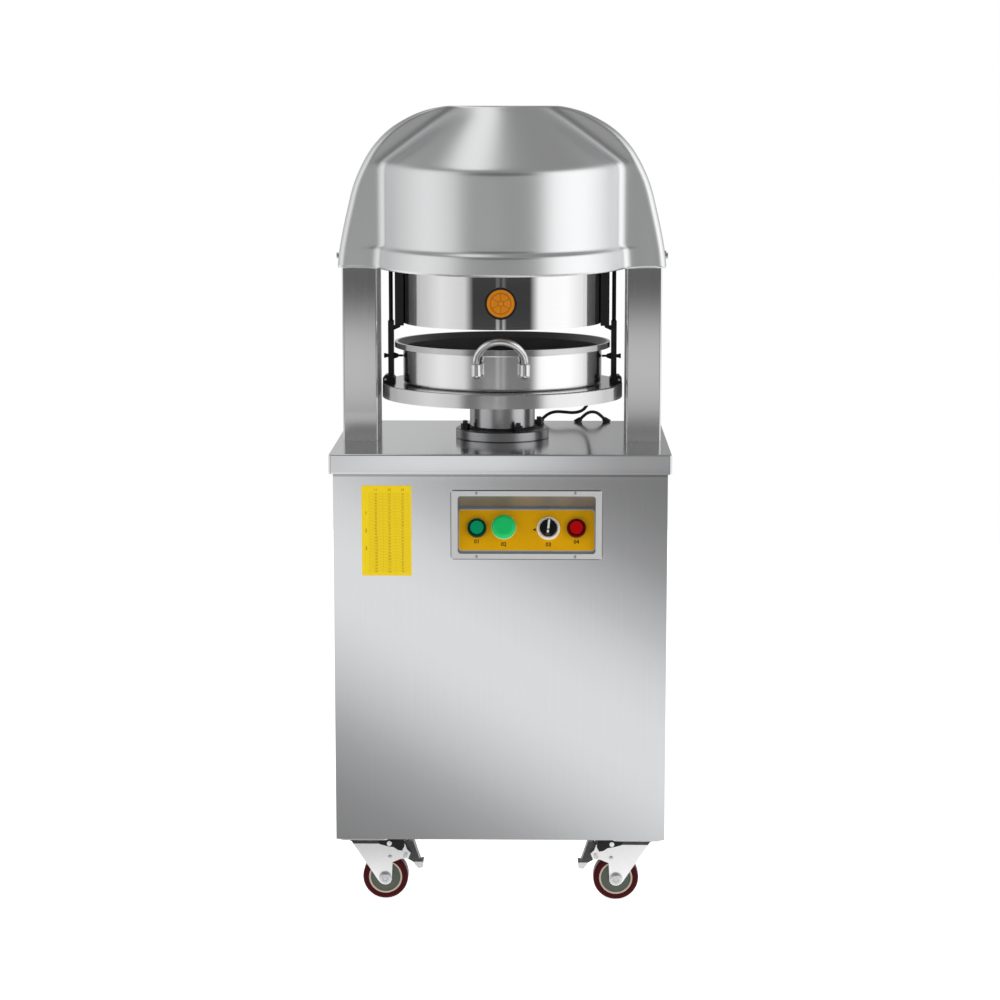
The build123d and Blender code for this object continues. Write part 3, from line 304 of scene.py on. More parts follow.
def route(name, points, diameter):
    """A smooth tube along the given points, as a mesh, and the points along its middle."""
    curve = bpy.data.curves.new(name, "CURVE")
    curve.dimensions = "3D"
    spline = curve.splines.new("NURBS")
    spline.points.add(len(points) - 1)
    for point, place in zip(spline.points, points):
        point.co = (*place, 1.0)
    spline.order_u = 3
    spline.use_endpoint_u = True
    spline.resolution_u = 12
    line = bpy.data.objects.new(name + "_line", curve)
    scene.collection.objects.link(line)
    middle = lead_mesh(line)
    followed = [tuple(point.co) for point in middle.vertices]
    curve.bevel_depth = diameter / 2
    curve.bevel_resolution = 5
    lead = bpy.data.objects.new(name, lead_mesh(line))
    scene.collection.objects.link(lead)
    bpy.data.meshes.remove(middle)
    bpy.data.curves.remove(curve)
    return lead, followed


def bump(height, strength, distance):
    return height.node("ShaderNodeBump", {}, {"Height": height, "Strength": strength, "Distance": distance})


def between(share, low, high):
    """A value that goes from low to high as the share goes from 0 to 1."""
    return share * (high - low) + low


def dress(made, *names):
    """Gives a material to nodes of the model."""
    for name in names:
        nodes[name].data.materials.clear()
        nodes[name].data.materials.append(made)


rubber, spot = fresh("black_rubber")
scuffs = noise(spot, scale=420.0)
finish(rubber, Base_Color=tint(scuffs, grey(0.008), grey(0.020)), Roughness=between(scuffs, 0.38, 0.60),
       Normal=bump(scuffs, strength=0.10, distance=0.0004))
LEAD = 0.0056
SENSOR_ROUTE = [(0.068, 0.205, 0.758), (0.076, 0.205, 0.766), (0.090, 0.205, 0.7705), (0.106, 0.205, 0.7695),
                (0.122, 0.2045, 0.768), (0.137, 0.202, 0.7715), (0.146, 0.193, 0.783), (0.150, 0.174, 0.799),
                (0.151, 0.149, 0.810), (0.150, 0.128, 0.8135), (0.150, 0.110, 0.8135)]
SWITCH_ROUTE = [(0.135, 0.205, 0.758), (0.142, 0.205, 0.765), (0.150, 0.206, 0.7695), (0.160, 0.208, 0.7695),
                (0.168, 0.209, 0.765), (0.175, 0.209, 0.758)]
SENSOR_LENGTH = 0.181
SWITCH_LENGTH = 0.048
sensor_lead, sensor_line = route("sensor_lead_run", SENSOR_ROUTE, LEAD)
switch_lead, switch_line = route("switch_lead_run", SWITCH_ROUTE, LEAD)
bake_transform(sensor_lead)
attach(switch_lead, "machine")
for lead, line, node, leaves, length in (
        (sensor_lead, sensor_line, "sensor_lead", SENSOR_ROUTE[0], SENSOR_LENGTH),
        (switch_lead, switch_line, "switch_lead", SWITCH_ROUTE[0], SWITCH_LENGTH)):
    lead.data.materials.append(rubber)
    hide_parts(node)
dress(rubber, "lead_grommets", "tray_sensor")


# Four swivel casters, bolted under the base by their top plates. The forks are pressed and zinc plated, the
# wheels have a burgundy tread cast on a grey-green hub, and the front pair has a black foot brake.
MM = 0.001
GRAIN_DEPTH = 0.0005
LINE_DETAIL = 3.0


def brushed(name, colour, roughness, stretch, tone=0.04, grain=0.03, spread=0.04):
    """Bare metal with a grain; stretch is large across the brush lines and small along them."""
    made, spot = fresh(name)
    lines = noise(spot, 1.0, LINE_DETAIL, stretch)
    shade = lines * 0.6 + noise(spot, scale=6.0) * 0.4
    low = rgb(*(level * (1 - tone) for level in colour))
    light = rgb(*(min(1.0, level * (1 + tone)) for level in colour))
    return finish(made, Base_Color=tint(shade, low, light), Metallic=1.0,
                  Roughness=between(shade, roughness - spread, roughness + spread),
                  Normal=bump(lines, grain, GRAIN_DEPTH))


def moulded(name, colour, roughness=0.3, grain=0.02):
    """Plastic or paint with a faint mottle."""
    made, spot = fresh(name)
    mottle = noise(spot, scale=700.0)
    low = rgb(*(level * 0.90 for level in colour))
    return finish(made, Base_Color=tint(mottle, low, rgb(*colour)), Normal=bump(mottle, grain, 0.0002),
                  Roughness=between(mottle, roughness - 0.04, roughness + 0.04), Specular_IOR_Level=0.25)


def reach(first, second):
    """The length of a way that goes so far along two axes."""
    return (first * first + second * second).root()


def joined(shapes):
    """Several shapes as one list of points and one of faces."""
    points = []
    faces = []
    for more_points, more_faces in shapes:
        faces += [[len(points) + corner for corner in face] for face in more_faces]
        points += more_points
    return points, faces


def banded(rings, columns):
    """Faces between closed rings of points, each ring joined to the next."""
    return [(ring * columns + k, ring * columns + (k + 1) % columns, (ring + 1) * columns + (k + 1) % columns,
             (ring + 1) * columns + k) for ring in range(rings - 1) for k in range(columns)]


def turned(profile, place, steps=40):
    """A turned shape; the profile is (radius, height) in millimetres, up the outside and down the inside."""
    turns = [2 * pi * step / steps for step in range(steps)]
    points = [place @ Vector((MM * radius * cos(turn), MM * radius * sin(turn), MM * height))
              for radius, height in profile for turn in turns]
    return points, banded(len(profile), steps)


def slab(outline, low, high, place):
    """A flat outline in millimetres, given a thickness from low to high."""
    count = len(outline)
    points = [place @ Vector((MM * x, MM * y, MM * z)) for z in (low, high) for x, y in outline]
    faces = [list(range(count))[::-1], list(range(count, 2 * count))]
    faces += [(k, (k + 1) % count, count + (k + 1) % count, count + k) for k in range(count)]
    return points, faces


SAME_POINT = 0.000002
SHARP_FROM = 35


def fitted(name, shape, made, body, edge=0.0):
    """A mesh piece that rides on a body; edge is the width of its eased edges in millimetres."""
    mesh = bpy.data.meshes.new(name)
    mesh.from_pydata(shape[0], [], shape[1])
    form = bmesh.new()
    form.from_mesh(mesh)
    bmesh.ops.remove_doubles(form, verts=form.verts, dist=SAME_POINT)
    bmesh.ops.recalc_face_normals(form, faces=form.faces)
    form.to_mesh(mesh)
    form.free()
    mesh.shade_smooth()
    mesh.set_sharp_from_angle(angle=radians(SHARP_FROM))
    mesh.materials.append(made)
    piece = bpy.data.objects.new(name, mesh)
    scene.collection.objects.link(piece)
    if edge:
        eased = piece.modifiers.new("eased_edge", "BEVEL")
        eased.width = MM * edge
        eased.segments = 2
        eased.limit_method = "ANGLE"
    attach(piece, body)
    return piece


SWIVEL = (0.225, 0.160)
AXLE = (34.0, 37.5)
PEDAL_PIVOT = (68.0, 77.0)


def from_axis(spot, away, up):
    """How far a point of a caster is from a pin across it, so far from the swivel and so high."""
    x, _, z = spot.split()
    return reach(x.size() - (SWIVEL[0] - MM * away), z - MM * up)


SPANGLE = (260, 260, 260)
zinc = brushed("bright_zinc", (0.93, 0.93, 0.93), roughness=0.42, stretch=SPANGLE, tone=0.03, grain=0.02)
dull_zinc = brushed("dull_zinc", (0.58, 0.58, 0.59), roughness=0.36, stretch=SPANGLE, tone=0.05, grain=0.02)
# The top of each fork is painted near black: painted shade under the swivel race and the cabinet.
SHADED_TOP_Z = 0.0955
fork_zinc, spot = fresh("fork_zinc")
shaded_top = spot.split()[2].above(SHADED_TOP_Z)
spangle = noise(spot, scale=260.0)
plated = tint(spangle, grey(0.90), grey(0.96))
finish(fork_zinc, Base_Color=tint(shaded_top, plated, grey(0.075)), Metallic=1.0,
       Roughness=between(spangle, 0.38, 0.46), Normal=bump(spangle, 0.02, GRAIN_DEPTH))
RACE_TOP = 0.1088
race_and_shade, spot = fresh("zinc_with_race_and_painted_shade")
# Below the plate the race is painted near black: partly the dark race itself, partly painted shade under the
# cabinet.
plate = spot.split()[2].above(RACE_TOP)
finish(race_and_shade, Base_Color=tint(plate, grey(0.03), grey(0.72)), Metallic=between(plate, 0.3, 1.0),
       Roughness=between(noise(spot, scale=300.0), 0.35, 0.50))
dress(race_and_shade, "caster_plates")

HUB_R = 0.0245
HUB_RING_R = 0.0275
tread, spot = fresh("tread_and_hub")
from_axle = from_axis(spot, *AXLE)
grime = noise(spot, scale=180.0)
burgundy = tint(grime, rgb(0.046, 0.001, 0.002), rgb(0.064, 0.0015, 0.003))
hub_face = tint(grime, rgb(0.09, 0.11, 0.09), rgb(0.13, 0.15, 0.12))
hub_ring = tint(from_axle.above(HUB_R), hub_face, rgb(0.56, 0.47, 0.39))
finish(tread, Base_Color=tint(from_axle.above(HUB_RING_R), hub_ring, burgundy),
       Roughness=between(grime, 0.26, 0.40), Specular_IOR_Level=0.10)

PAINT_FROM = 0.0625
PIN_R = 0.0033
pedal_paint, spot = fresh("pedal_paint")
painted = spot.split()[2].above(PAINT_FROM) * from_axis(spot, *PEDAL_PIVOT).above(PIN_R)
black_paint = tint(noise(spot, scale=220.0), grey(0.03), grey(0.06))
finish(pedal_paint, Base_Color=tint(painted, grey(0.70), black_paint), Metallic=1 - painted,
       Roughness=between(noise(spot, scale=300.0), 0.30, 0.45))
brake_black = moulded("brake_black", (0.010, 0.010, 0.011), roughness=0.42, grain=0.05)

WASHER = [(10.5, 20.05), (10.5, 21.2), (9.9, 21.5), (8.1, 21.5)]
AXLE_CAP = [(7.9, 24.6), (7.9, 26.0), (6.9, 26.8), (4.4, 26.8), (3.6, 25.7), (0, 25.7)]
RIVET = [(3.5, 20.02), (3.3, 20.9), (2.2, 21.5), (0, 21.7)]
RIVET_SPOTS = [(42, 73), (67, 74)]
STRAP = [(22, 101), (25, 95), (36, 92), (48, 90), (55, 85), (62, 84), (66, 92), (64, 101)]
STRAP_FACES = (20.1, 21.6)
STRAP_NUT = [(4.0, 21.6), (4.0, 23.4), (3.2, 24.2), (0, 24.4)]
STRAP_NUT_SPOT = (41, 97)
CORNERS = {"front_left": (-1, -1), "front_right": (1, -1), "rear_left": (-1, 1), "rear_right": (1, 1)}


def on_cheek(away, up):
    """A place on a fork's cheek, so far from the swivel and so high."""
    return Matrix.Translation((MM * away, MM * up, 0))


for corner, (side, end) in CORNERS.items():
    body = corner + "_caster"
    dress(fork_zinc, corner + "_fork")
    dress(tread, corner + "_wheel")
    caster = Matrix(((-side, 0, 0, side * SWIVEL[0]), (0, 0, 1, end * SWIVEL[1]), (0, 1, 0, 0), (0, 0, 0, 1)))
    cheeks = [caster @ Matrix.Diagonal((1, 1, cheek, 1)) for cheek in (1, -1)]
    fasteners = [turned(profile, cheek @ on_cheek(*AXLE))
                 for profile in (WASHER, AXLE_CAP) for cheek in cheeks]
    fasteners += [turned(RIVET, cheek @ on_cheek(*place), steps=20)
                  for place in RIVET_SPOTS for cheek in cheeks]
    fitted(corner + "_fasteners", joined(fasteners), dull_zinc, body)
    if end < 0:
        dress(pedal_paint, corner + "_pedal")
        straps = [slab(STRAP, *STRAP_FACES, cheek) for cheek in cheeks]
        fitted(corner + "_brake_strap", joined(straps), brake_black, body, edge=0.5)
        nuts = [turned(STRAP_NUT, cheek @ on_cheek(*STRAP_NUT_SPOT), steps=24) for cheek in cheeks]
        fitted(corner + "_strap_nuts", joined(nuts), zinc, body)


# The cabinet: stainless sheet folded at the corners and welded, with an upright brushed grain. A base plate
# is let in below, a louvred panel is screwed over the opening at the rear, and the mains gland is in the
# base.
STEEL = (0.66, 0.665, 0.675)
PALE_STEEL = rgb(*(level * 1.03 for level in STEEL))
DULL_STEEL = rgb(*(level * 0.97 for level in STEEL))
UPRIGHT_GRAIN = (700, 700, 7)
EVEN_GRAIN = (300, 300, 300)
LIP_SHADOW_Z = 0.7145
POLISHED_TO = -0.2105
cabinet_steel, spot = fresh("cabinet_steel")
_, cabinet_y, cabinet_z = spot.split()
# A thin band at the top of the cabinet, just under the tabletop's lip, is painted darker: a painted shadow
# line under the lip.
painted_lip_shadow = cabinet_z.above(LIP_SHADOW_Z)
polished = 1 - cabinet_y.above(POLISHED_TO)
upright = noise(spot, 1.0, LINE_DETAIL, UPRIGHT_GRAIN)
sheet_steel = tint(upright, DULL_STEEL, PALE_STEEL)
finish(cabinet_steel, Base_Color=tint(painted_lip_shadow, sheet_steel, grey(0.42)), Metallic=1.0,
       Roughness=between(upright, 0.16, 0.20) - polished * 0.135, Normal=bump(upright, 0.003, GRAIN_DEPTH))
dress(cabinet_steel, "cabinet_shell", "base_plate", "rear_panel")
screw_steel = brushed("screw_steel", (0.50, 0.50, 0.51), roughness=0.32, stretch=EVEN_GRAIN)
dress(screw_steel, "cover_screws")
dress(moulded("gland_black", (0.014, 0.014, 0.015), roughness=0.45, grain=0.05), "power_gland")


# The power pack in the cabinet: a painted cast motor with its pump and valve block, a painted sheet oil tank
# and a grey plastic box for the contactors behind the controls.
def cast(name, colour, roughness):
    """Paint over a sand casting."""
    made, spot = fresh(name)
    sand = noise(spot, scale=320.0, detail=4.0)
    low = rgb(*(level * 0.82 for level in colour))
    return finish(made, Base_Color=tint(sand, low, rgb(*colour)),
                  Roughness=between(sand, roughness, roughness + 0.15),
                  Normal=bump(sand, strength=0.25, distance=0.0006))


dress(cast("motor_paint", (0.10, 0.15, 0.20), roughness=0.42), "motor", "hydraulic_unit")
dress(moulded("tank_paint", (0.16, 0.19, 0.21), roughness=0.36), "oil_tank")
dress(moulded("box_plastic", (0.42, 0.43, 0.42), roughness=0.45, grain=0.06), "contactor_box")
casting = cast("grey_casting", (0.20, 0.21, 0.22), roughness=0.45)
dress(casting, "lift_cylinder", "head_beam", "press_cylinder")


# The tabletop: one sheet folded down on all four sides, its grain running across, polished so far that it
# mirrors the column, and dropped over the cabinet.
CROSS_GRAIN = (7, 700, 700)
LIP_TOP = 0.7495
LIP_FRONT = -0.2205
HEM_HIGHLIGHT_TOP = 0.7228
top_steel, spot = fresh("tabletop_steel")
_, top_y, top_z = spot.split()
front_lip = (1 - top_z.above(LIP_TOP)) * (1 - top_y.above(LIP_FRONT))
# The lowest strip of the lip is painted paler: a painted highlight along its lower edge.
hem_highlight = 1 - top_z.above(HEM_HIGHLIGHT_TOP)
crossways = noise(spot, 1.0, LINE_DETAIL, CROSS_GRAIN)
sheet_steel = tint(crossways, DULL_STEEL, PALE_STEEL)
finish(top_steel, Base_Color=tint(hem_highlight, sheet_steel, grey(0.76)), Metallic=1.0,
       Roughness=between(crossways, 0.125, 0.165) - front_lip * 0.105,
       Normal=bump(crossways, 0.004, GRAIN_DEPTH))
dress(top_steel, "tabletop")


# The chart plate: printed yellow film on thin sheet, stuck to the cabinet. It holds a ruled table of plain
# numbers, with a bare margin at the left.
FACING = Matrix.Rotation(radians(90), 4, "X")
INK_HEIGHT = 0.00004


def lettered(name, words, size, place, made, pitch=1.0, bold=0.0):
    """Printed figures, a hair proud of the face of the machine that carries them."""
    curve = bpy.data.curves.new(name, "FONT")
    curve.body = words
    curve.size = size
    curve.align_x = "CENTER"
    curve.align_y = "CENTER"
    curve.space_line = pitch
    curve.extrude = INK_HEIGHT
    curve.offset = bold
    curve.resolution_u = 3
    curve.materials.append(made)
    piece = bpy.data.objects.new(name, curve)
    piece.matrix_world = place
    scene.collection.objects.link(piece)
    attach(piece, "machine")


CHART_LEFT = -0.223
CHART_TOP = 0.700
CHART_FACE = -0.21385
CHART_ROWS = 26
ROW_PITCH = 0.00504
TABLE_TOP = 0.0118
TABLE_EDGES = (0.0112, 0.0345, 0.0548, 0.0768)
RULE_SHARE = 0.09
RULE_HALF = 0.00025
chart, spot = fresh("chart_film")
chart_x, _, chart_z = spot.split()
from_left = chart_x - CHART_LEFT
from_top = CHART_TOP - chart_z
inside_x = from_left.above(TABLE_EDGES[0]) * (1 - from_left.above(TABLE_EDGES[-1]))
inside = inside_x * from_top.above(TABLE_TOP) * (1 - from_top.above(TABLE_TOP + CHART_ROWS * ROW_PITCH))
ruled = 1 - ((from_top - TABLE_TOP) / ROW_PITCH).fraction().above(RULE_SHARE)
for edge in TABLE_EDGES:
    ruled = ruled.most(1 - (from_left - edge).size().above(RULE_HALF))
mottle = noise(spot, scale=90.0)
film = tint(mottle, rgb(1.0, 0.705, 0.005), rgb(1.0, 0.75, 0.010))
printed = tint(inside * 0.20, film, rgb(0.80, 0.52, 0.02))
finish(chart, Base_Color=tint(inside * ruled * 0.35, printed, rgb(0.45, 0.27, 0.01)), Specular_IOR_Level=0.15,
       Roughness=between(mottle, 0.38, 0.50))
dress(chart, "chart_plate")
chart_ink = moulded("chart_ink", (0.26, 0.15, 0.008), roughness=0.5)


def on_chart(left, top):
    """A place on the chart, from its upper left corner."""
    return Matrix.Translation((CHART_LEFT + left, CHART_FACE, CHART_TOP - top)) @ FACING


# Each column's middle, its first figure and the step to the next one.
COLUMNS = ((0.0228, 30, 5), (0.0447, 25, 4), (0.0658, 18, 3))
TABLE_MIDDLE = TABLE_TOP + ROW_PITCH * CHART_ROWS / 2
FIGURE = 0.0036
HEAD_FIGURE = 0.0055
HEAD_DROP = 0.0070
GROUP_FIGURE = 0.0080
GROUP_LEFT = 0.0070
GROUP_DROP = 0.0155
GROUP_STEP = 0.029
for column, (middle, first, step) in enumerate(COLUMNS, 1):
    figures = "\n".join(str(first + step * row) for row in range(CHART_ROWS))
    lettered(f"chart_column_{column}", figures, FIGURE, on_chart(middle, TABLE_MIDDLE), chart_ink,
             pitch=ROW_PITCH / FIGURE)
    lettered(f"chart_head_{column}", f"{column}{column}", HEAD_FIGURE, on_chart(middle, HEAD_DROP), chart_ink)
    group_place = on_chart(GROUP_LEFT, GROUP_DROP + GROUP_STEP * column)
    lettered(f"chart_group_{column}", str(column), GROUP_FIGURE, group_place, chart_ink)


# The control panel: a pale metal frame screwed over a sheet-metal pocket, whose sloped face carries an amber
# plate with a bright edge. The four devices clamp through it, with their contact blocks behind.
FRAME_MIDDLE = (0.0425, 0.6365)
FRAME_FLAT = (0.1212, 0.0552)
FRAME_GRAIN = (9, 700, 700)
frame_metal, spot = fresh("frame_metal")
frame_x, _, frame_z = spot.split()
past_flat = [(place - middle).size() - half
             for place, middle, half in zip((frame_x, frame_z), FRAME_MIDDLE, FRAME_FLAT)]
# A thin band round the frame's outer edge is painted dark grey: a painted shadow line where the frame meets
# the cabinet.
painted_edge_shadow = past_flat[0].most(past_flat[1]).above(0.0)
streaks = noise(spot, 1.0, LINE_DETAIL, FRAME_GRAIN)
finish(frame_metal, Base_Color=tint(painted_edge_shadow, tint(streaks, grey(0.83), grey(0.87)), grey(0.16)), Metallic=1.0,
       Roughness=between(streaks, 0.36, 0.44))
dress(frame_metal, "control_frame")
pocket_steel = brushed("pocket_steel", (0.445, 0.475, 0.505), roughness=0.50, stretch=UPRIGHT_GRAIN)
dress(pocket_steel, "control_pocket")
FRAME_SCREW = [(2.6, 0), (2.6, 0.7), (2.0, 1.3), (1.1, 1.5), (0.9, 0.7), (0, 0.7)]
FRAME_SCREW_X = (-0.038, 0.121)
FRAME_SCREW_Z = (0.5848, 0.6883)
FRAME_FACE = -0.2155
frame_screws = [turned(FRAME_SCREW, Matrix.Translation((x, FRAME_FACE, z)) @ FACING, steps=20)
                for x in FRAME_SCREW_X for z in FRAME_SCREW_Z]
fitted("frame_screws", joined(frame_screws), screw_steel, "machine")

ACROSS = Vector((1, 0, 0))
SLOPE = Vector((0, 0.026, 0.0705)).normalized()
OUTWARD = Vector((0, -SLOPE.z, SLOPE.y))
PANEL_MIDDLE = Vector((0.0425, -0.197, 0.62475))
PANEL = Matrix.Translation(PANEL_MIDDLE) @ Matrix((ACROSS, SLOPE, OUTWARD)).transposed().to_4x4()
PLATE_HALF = (0.1105, 0.03455)
PLATE_CORNER = 0.006
PLATE_EDGE = 0.0014


def along(spot, origin, axis):
    """How far a point is from an origin along an axis."""
    moved = spot.node("ShaderNodeVectorMath", {"operation": "SUBTRACT"}, {0: spot, 1: origin})
    return moved.node("ShaderNodeVectorMath", {"operation": "DOT_PRODUCT"}, {0: moved, 1: axis}, "Value")


amber, spot = fresh("amber_plate")
past = [(along(spot, PANEL_MIDDLE, axis).size() - (half - PLATE_CORNER)).most(0.0)
        for axis, half in zip((ACROSS, SLOPE), PLATE_HALF)]
# A narrow pale, partly metallic band is painted all round the plate: partly its rim, partly a painted
# highlight along the bevel.
rim_and_painted_highlight = (reach(*past) - PLATE_CORNER).above(0 - PLATE_EDGE)
ageing = noise(spot, scale=45.0)
amber_film = tint(ageing, rgb(0.88, 0.44, 0.0), rgb(0.96, 0.49, 0.001))
finish(amber, Base_Color=tint(rim_and_painted_highlight, amber_film, grey(0.80)), Metallic=rim_and_painted_highlight * 0.7,
       Roughness=between(ageing, 0.32, 0.42), Specular_IOR_Level=0.2)
dress(amber, "control_plate")

DEVICES = {"start": -0.0803, "run": -0.0368, "selector": 0.0352, "stop": 0.0803}
DEVICE_UP = 0.003


def on_panel(across, up, turn=0.0):
    """A place on the amber plate, from its middle."""
    return PANEL @ Matrix.Translation((across, up, 0)) @ Matrix.Rotation(radians(turn), 4, "Z")


BUTTON_RIM = [(12.6, 2.05), (15.5, 2.05), (15.5, 7.2), (15.1, 8.3), (14.2, 9.0), (12.4, 9.0), (11.5, 8.2),
              (11.3, 6.8), (11.3, 2.1), (12.6, 2.05)]
RUN_RIM = [(12.6, 2.05), (15.5, 2.05), (15.5, 5.2), (14.8, 6.0), (11.8, 6.0), (11.3, 5.4), (11.3, 2.1),
           (12.6, 2.05)]
SELECTOR_RIM = [(14.2, 2.05), (19.0, 2.05), (19.0, 4.6), (18.4, 6.2), (17.2, 7.0), (15.2, 7.0), (14.2, 6.4),
                (13.9, 5.0), (13.9, 2.1), (14.2, 2.05)]
RIMS = {"start": (BUTTON_RIM, (0.003, 0.050, 0.030)), "run": (RUN_RIM, (0.55, 0.72, 0.55)),
        "selector": (SELECTOR_RIM, (1.0, 0.95, 0.82)), "stop": (BUTTON_RIM, (0.110, 0.003, 0.004))}
for device, (profile, colour) in RIMS.items():
    rim = fitted(device + "_rim", turned(profile, on_panel(DEVICES[device], DEVICE_UP), steps=56),
                 moulded(device + "_rim_plastic", colour, roughness=0.28), "machine")
    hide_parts("device_bezels")
NECK = [(0, -40.0), (11.9, -40.0), (12.3, -14.0), (12.3, 2.0)]
BLOCK = [(-14, -14), (14, -14), (14, 14), (-14, 14)]
BLOCK_FACES = (-40, -14)
behind = [turned(NECK, on_panel(across, DEVICE_UP)) for across in DEVICES.values()]
behind += [slab(BLOCK, *BLOCK_FACES, on_panel(across, DEVICE_UP)) for across in DEVICES.values()]
switch_black = moulded("switch_black", (0.02, 0.02, 0.02), roughness=0.4)
fitted("contact_blocks", joined(behind), switch_black, "machine", edge=0.6)

dress(moulded("green_cap", (0.0, 0.360, 0.150), roughness=0.26), "start_button")
dress(moulded("red_cap", (0.560, 0.0, 0.001), roughness=0.26), "stop_button")
dress(moulded("black_knob", (0.012, 0.012, 0.013), roughness=0.30), "selector_knob")
CROWN_FROM = 0.0161
mushroom, spot = fresh("mushroom_plastic")
# Below the crown a pale band is painted round the mushroom's rim: a painted highlight.
crown_over_painted_rim = along(spot, PANEL_MIDDLE, OUTWARD).above(CROWN_FROM)
crown_green = tint(noise(spot, scale=500.0), rgb(0.008, 0.58, 0.14), rgb(0.012, 0.64, 0.16))
finish(mushroom, Base_Color=tint(crown_over_painted_rim, rgb(0.60, 0.86, 0.62), crown_green), Specular_IOR_Level=0.25,
       Roughness=between(noise(spot, scale=300.0), 0.30, 0.38))
dress(mushroom, "mushroom_button")

POINTER_TURN = -6.0
POINTER = [(-1.6, -4.0), (1.6, -4.0), (1.6, 11.0), (-1.6, 11.0)]
POINTER_TAIL = [(-1.6, -10.5), (1.6, -10.5), (1.6, -6.0), (-1.6, -6.0)]
POINTER_FACES = (22.9, 23.25)
pointer_place = on_panel(DEVICES["selector"], DEVICE_UP, POINTER_TURN)
pointer = [slab(outline, *POINTER_FACES, pointer_place) for outline in (POINTER, POINTER_TAIL)]
pointer_white = moulded("pointer_white", (0.88, 0.88, 0.86), roughness=0.4)
fitted("selector_pointer", joined(pointer), pointer_white, "selector", edge=0.15)
panel_ink = moulded("panel_ink", (0.03, 0.016, 0.002), roughness=0.5)
CAPTIONS = {"start": -0.019, "run": -0.0235, "selector": -0.0235, "stop": -0.019}
CAPTION_LIFT = 0.00205
CAPTION_FIGURE = 0.0090
CAPTION_BOLD = 0.0002
for number, (device, low) in enumerate(CAPTIONS.items(), 1):
    caption = on_panel(DEVICES[device], low) @ Matrix.Translation((0, 0, CAPTION_LIFT))
    lettered(device + "_caption", f"0{number}", CAPTION_FIGURE, caption, panel_ink,
             bold=CAPTION_BOLD)
ARROW = [(9.5, 1.0), (14.5, -1.6), (14.5, 3.6)]
ARROW_FACES = (2.02, 2.10)
fitted("selector_arrow", slab(ARROW, *ARROW_FACES, on_panel(0, 0)), panel_ink, "machine")


# The lift: a turned ram slides out of its cylinder through a rubber wiper, held down by a bolted flange. It
# carries the turned tray, with black lugs and flat side bars, and the two screws that centre the pan.
flange_steel = brushed("flange_steel", (0.34, 0.34, 0.35), roughness=0.30, stretch=(40, 40, 1600), tone=0.10,
                       grain=0.05)
dress(flange_steel, "base_flange")
dress(brushed("bolt_black", (0.05, 0.05, 0.052), roughness=0.36, stretch=EVEN_GRAIN), "flange_bolts")
ram_steel = brushed("ram_steel", (0.42, 0.42, 0.43), roughness=0.24, stretch=(30, 30, 2000), tone=0.10,
                    grain=0.05)
dress(ram_steel, "lift_ram")
WIPER = [(54.8, 768.6), (61.0, 768.6), (60.6, 770.4), (58.0, 771.8), (55.4, 771.6), (54.8, 770.6),
         (54.8, 768.6)]
fitted("ram_wiper", turned(WIPER, Matrix(), steps=72), rubber, "machine")
tray_steel = brushed("tray_steel", (0.60, 0.60, 0.605), roughness=0.15, stretch=(12, 12, 1500), grain=0.02)
dress(tray_steel, "tray")
black_iron, spot = fresh("black_iron")
patches = noise(spot, scale=140.0, detail=3.0)
finish(black_iron, Base_Color=tint(patches, grey(0.008), grey(0.022)), Metallic=0.5,
       Roughness=between(patches, 0.32, 0.48), Normal=bump(patches, 0.08, GRAIN_DEPTH))
dress(black_iron, "tray_lugs", "side_bars", "guide_rods", "guide_blocks", "left_centring_screw",
      "right_centring_screw")
LUG_BOLT_R = 2.2
LUG_BOLT_HEAD = 1.8
LUG_BOLT_SPOTS = [(-0.1955, -0.016, 0.8505), (0.1955, -0.016, 0.8505)]
hexagon = [(LUG_BOLT_R * cos(pi * k / 3), LUG_BOLT_R * sin(pi * k / 3)) for k in range(6)]
lug_bolts = [slab(hexagon, 0, LUG_BOLT_HEAD, Matrix.Translation(place) @ FACING) for place in LUG_BOLT_SPOTS]
fitted("lug_bolts", joined(lug_bolts), zinc, "ram", edge=0.4)


# The posts and head: two folded posts joined by a cast beam carry the rolled and polished drum. Inside it
# the press pads hang on their platen and the knives on a carrier, each on its own rod from the cylinder.
INNER_TO = 0.2065
POST_FOOT = (0.752, 0.832)
FOOT_FADE = [(0, grey(1)), (0.3, grey(0.9)), (0.65, grey(0))]
post_steel, spot = fresh("post_steel")
post_x, _, post_z = spot.split()
# The posts' inner faces are painted pale and matte instead of bare steel, so the drum beside them mirrors a
# bright band: painted light.
inner_painted_pale = 1 - post_x.size().above(INNER_TO)
upright = noise(spot, 1.0, LINE_DETAIL, UPRIGHT_GRAIN)
foot = ((post_z - POST_FOOT[0]) / (POST_FOOT[1] - POST_FOOT[0])).ramp(FOOT_FADE)
finish(post_steel, Base_Color=tint(inner_painted_pale, tint(upright, grey(0.645), grey(0.685)), grey(0.88)),
       Metallic=between(inner_painted_pale, 1.0, 0.1),
       Roughness=between(upright, 0.045, 0.065) + inner_painted_pale * 0.5 + foot * 0.22)
dress(post_steel, "left_post", "right_post")
drum_steel = brushed("drum_steel", (0.68, 0.68, 0.685), roughness=0.055, stretch=(10, 10, 900), tone=0.03,
                     grain=0.002, spread=0.01)
dress(drum_steel, "head_drum")
dress(moulded("pad_plastic", (0.82, 0.82, 0.79), roughness=0.5), "press_pads")
blade_steel = brushed("blade_steel", (0.60, 0.61, 0.62), roughness=0.25, stretch=EVEN_GRAIN)
dress(blade_steel, "press_platen", "knife_grid", "knife_carrier", "knife_rod")

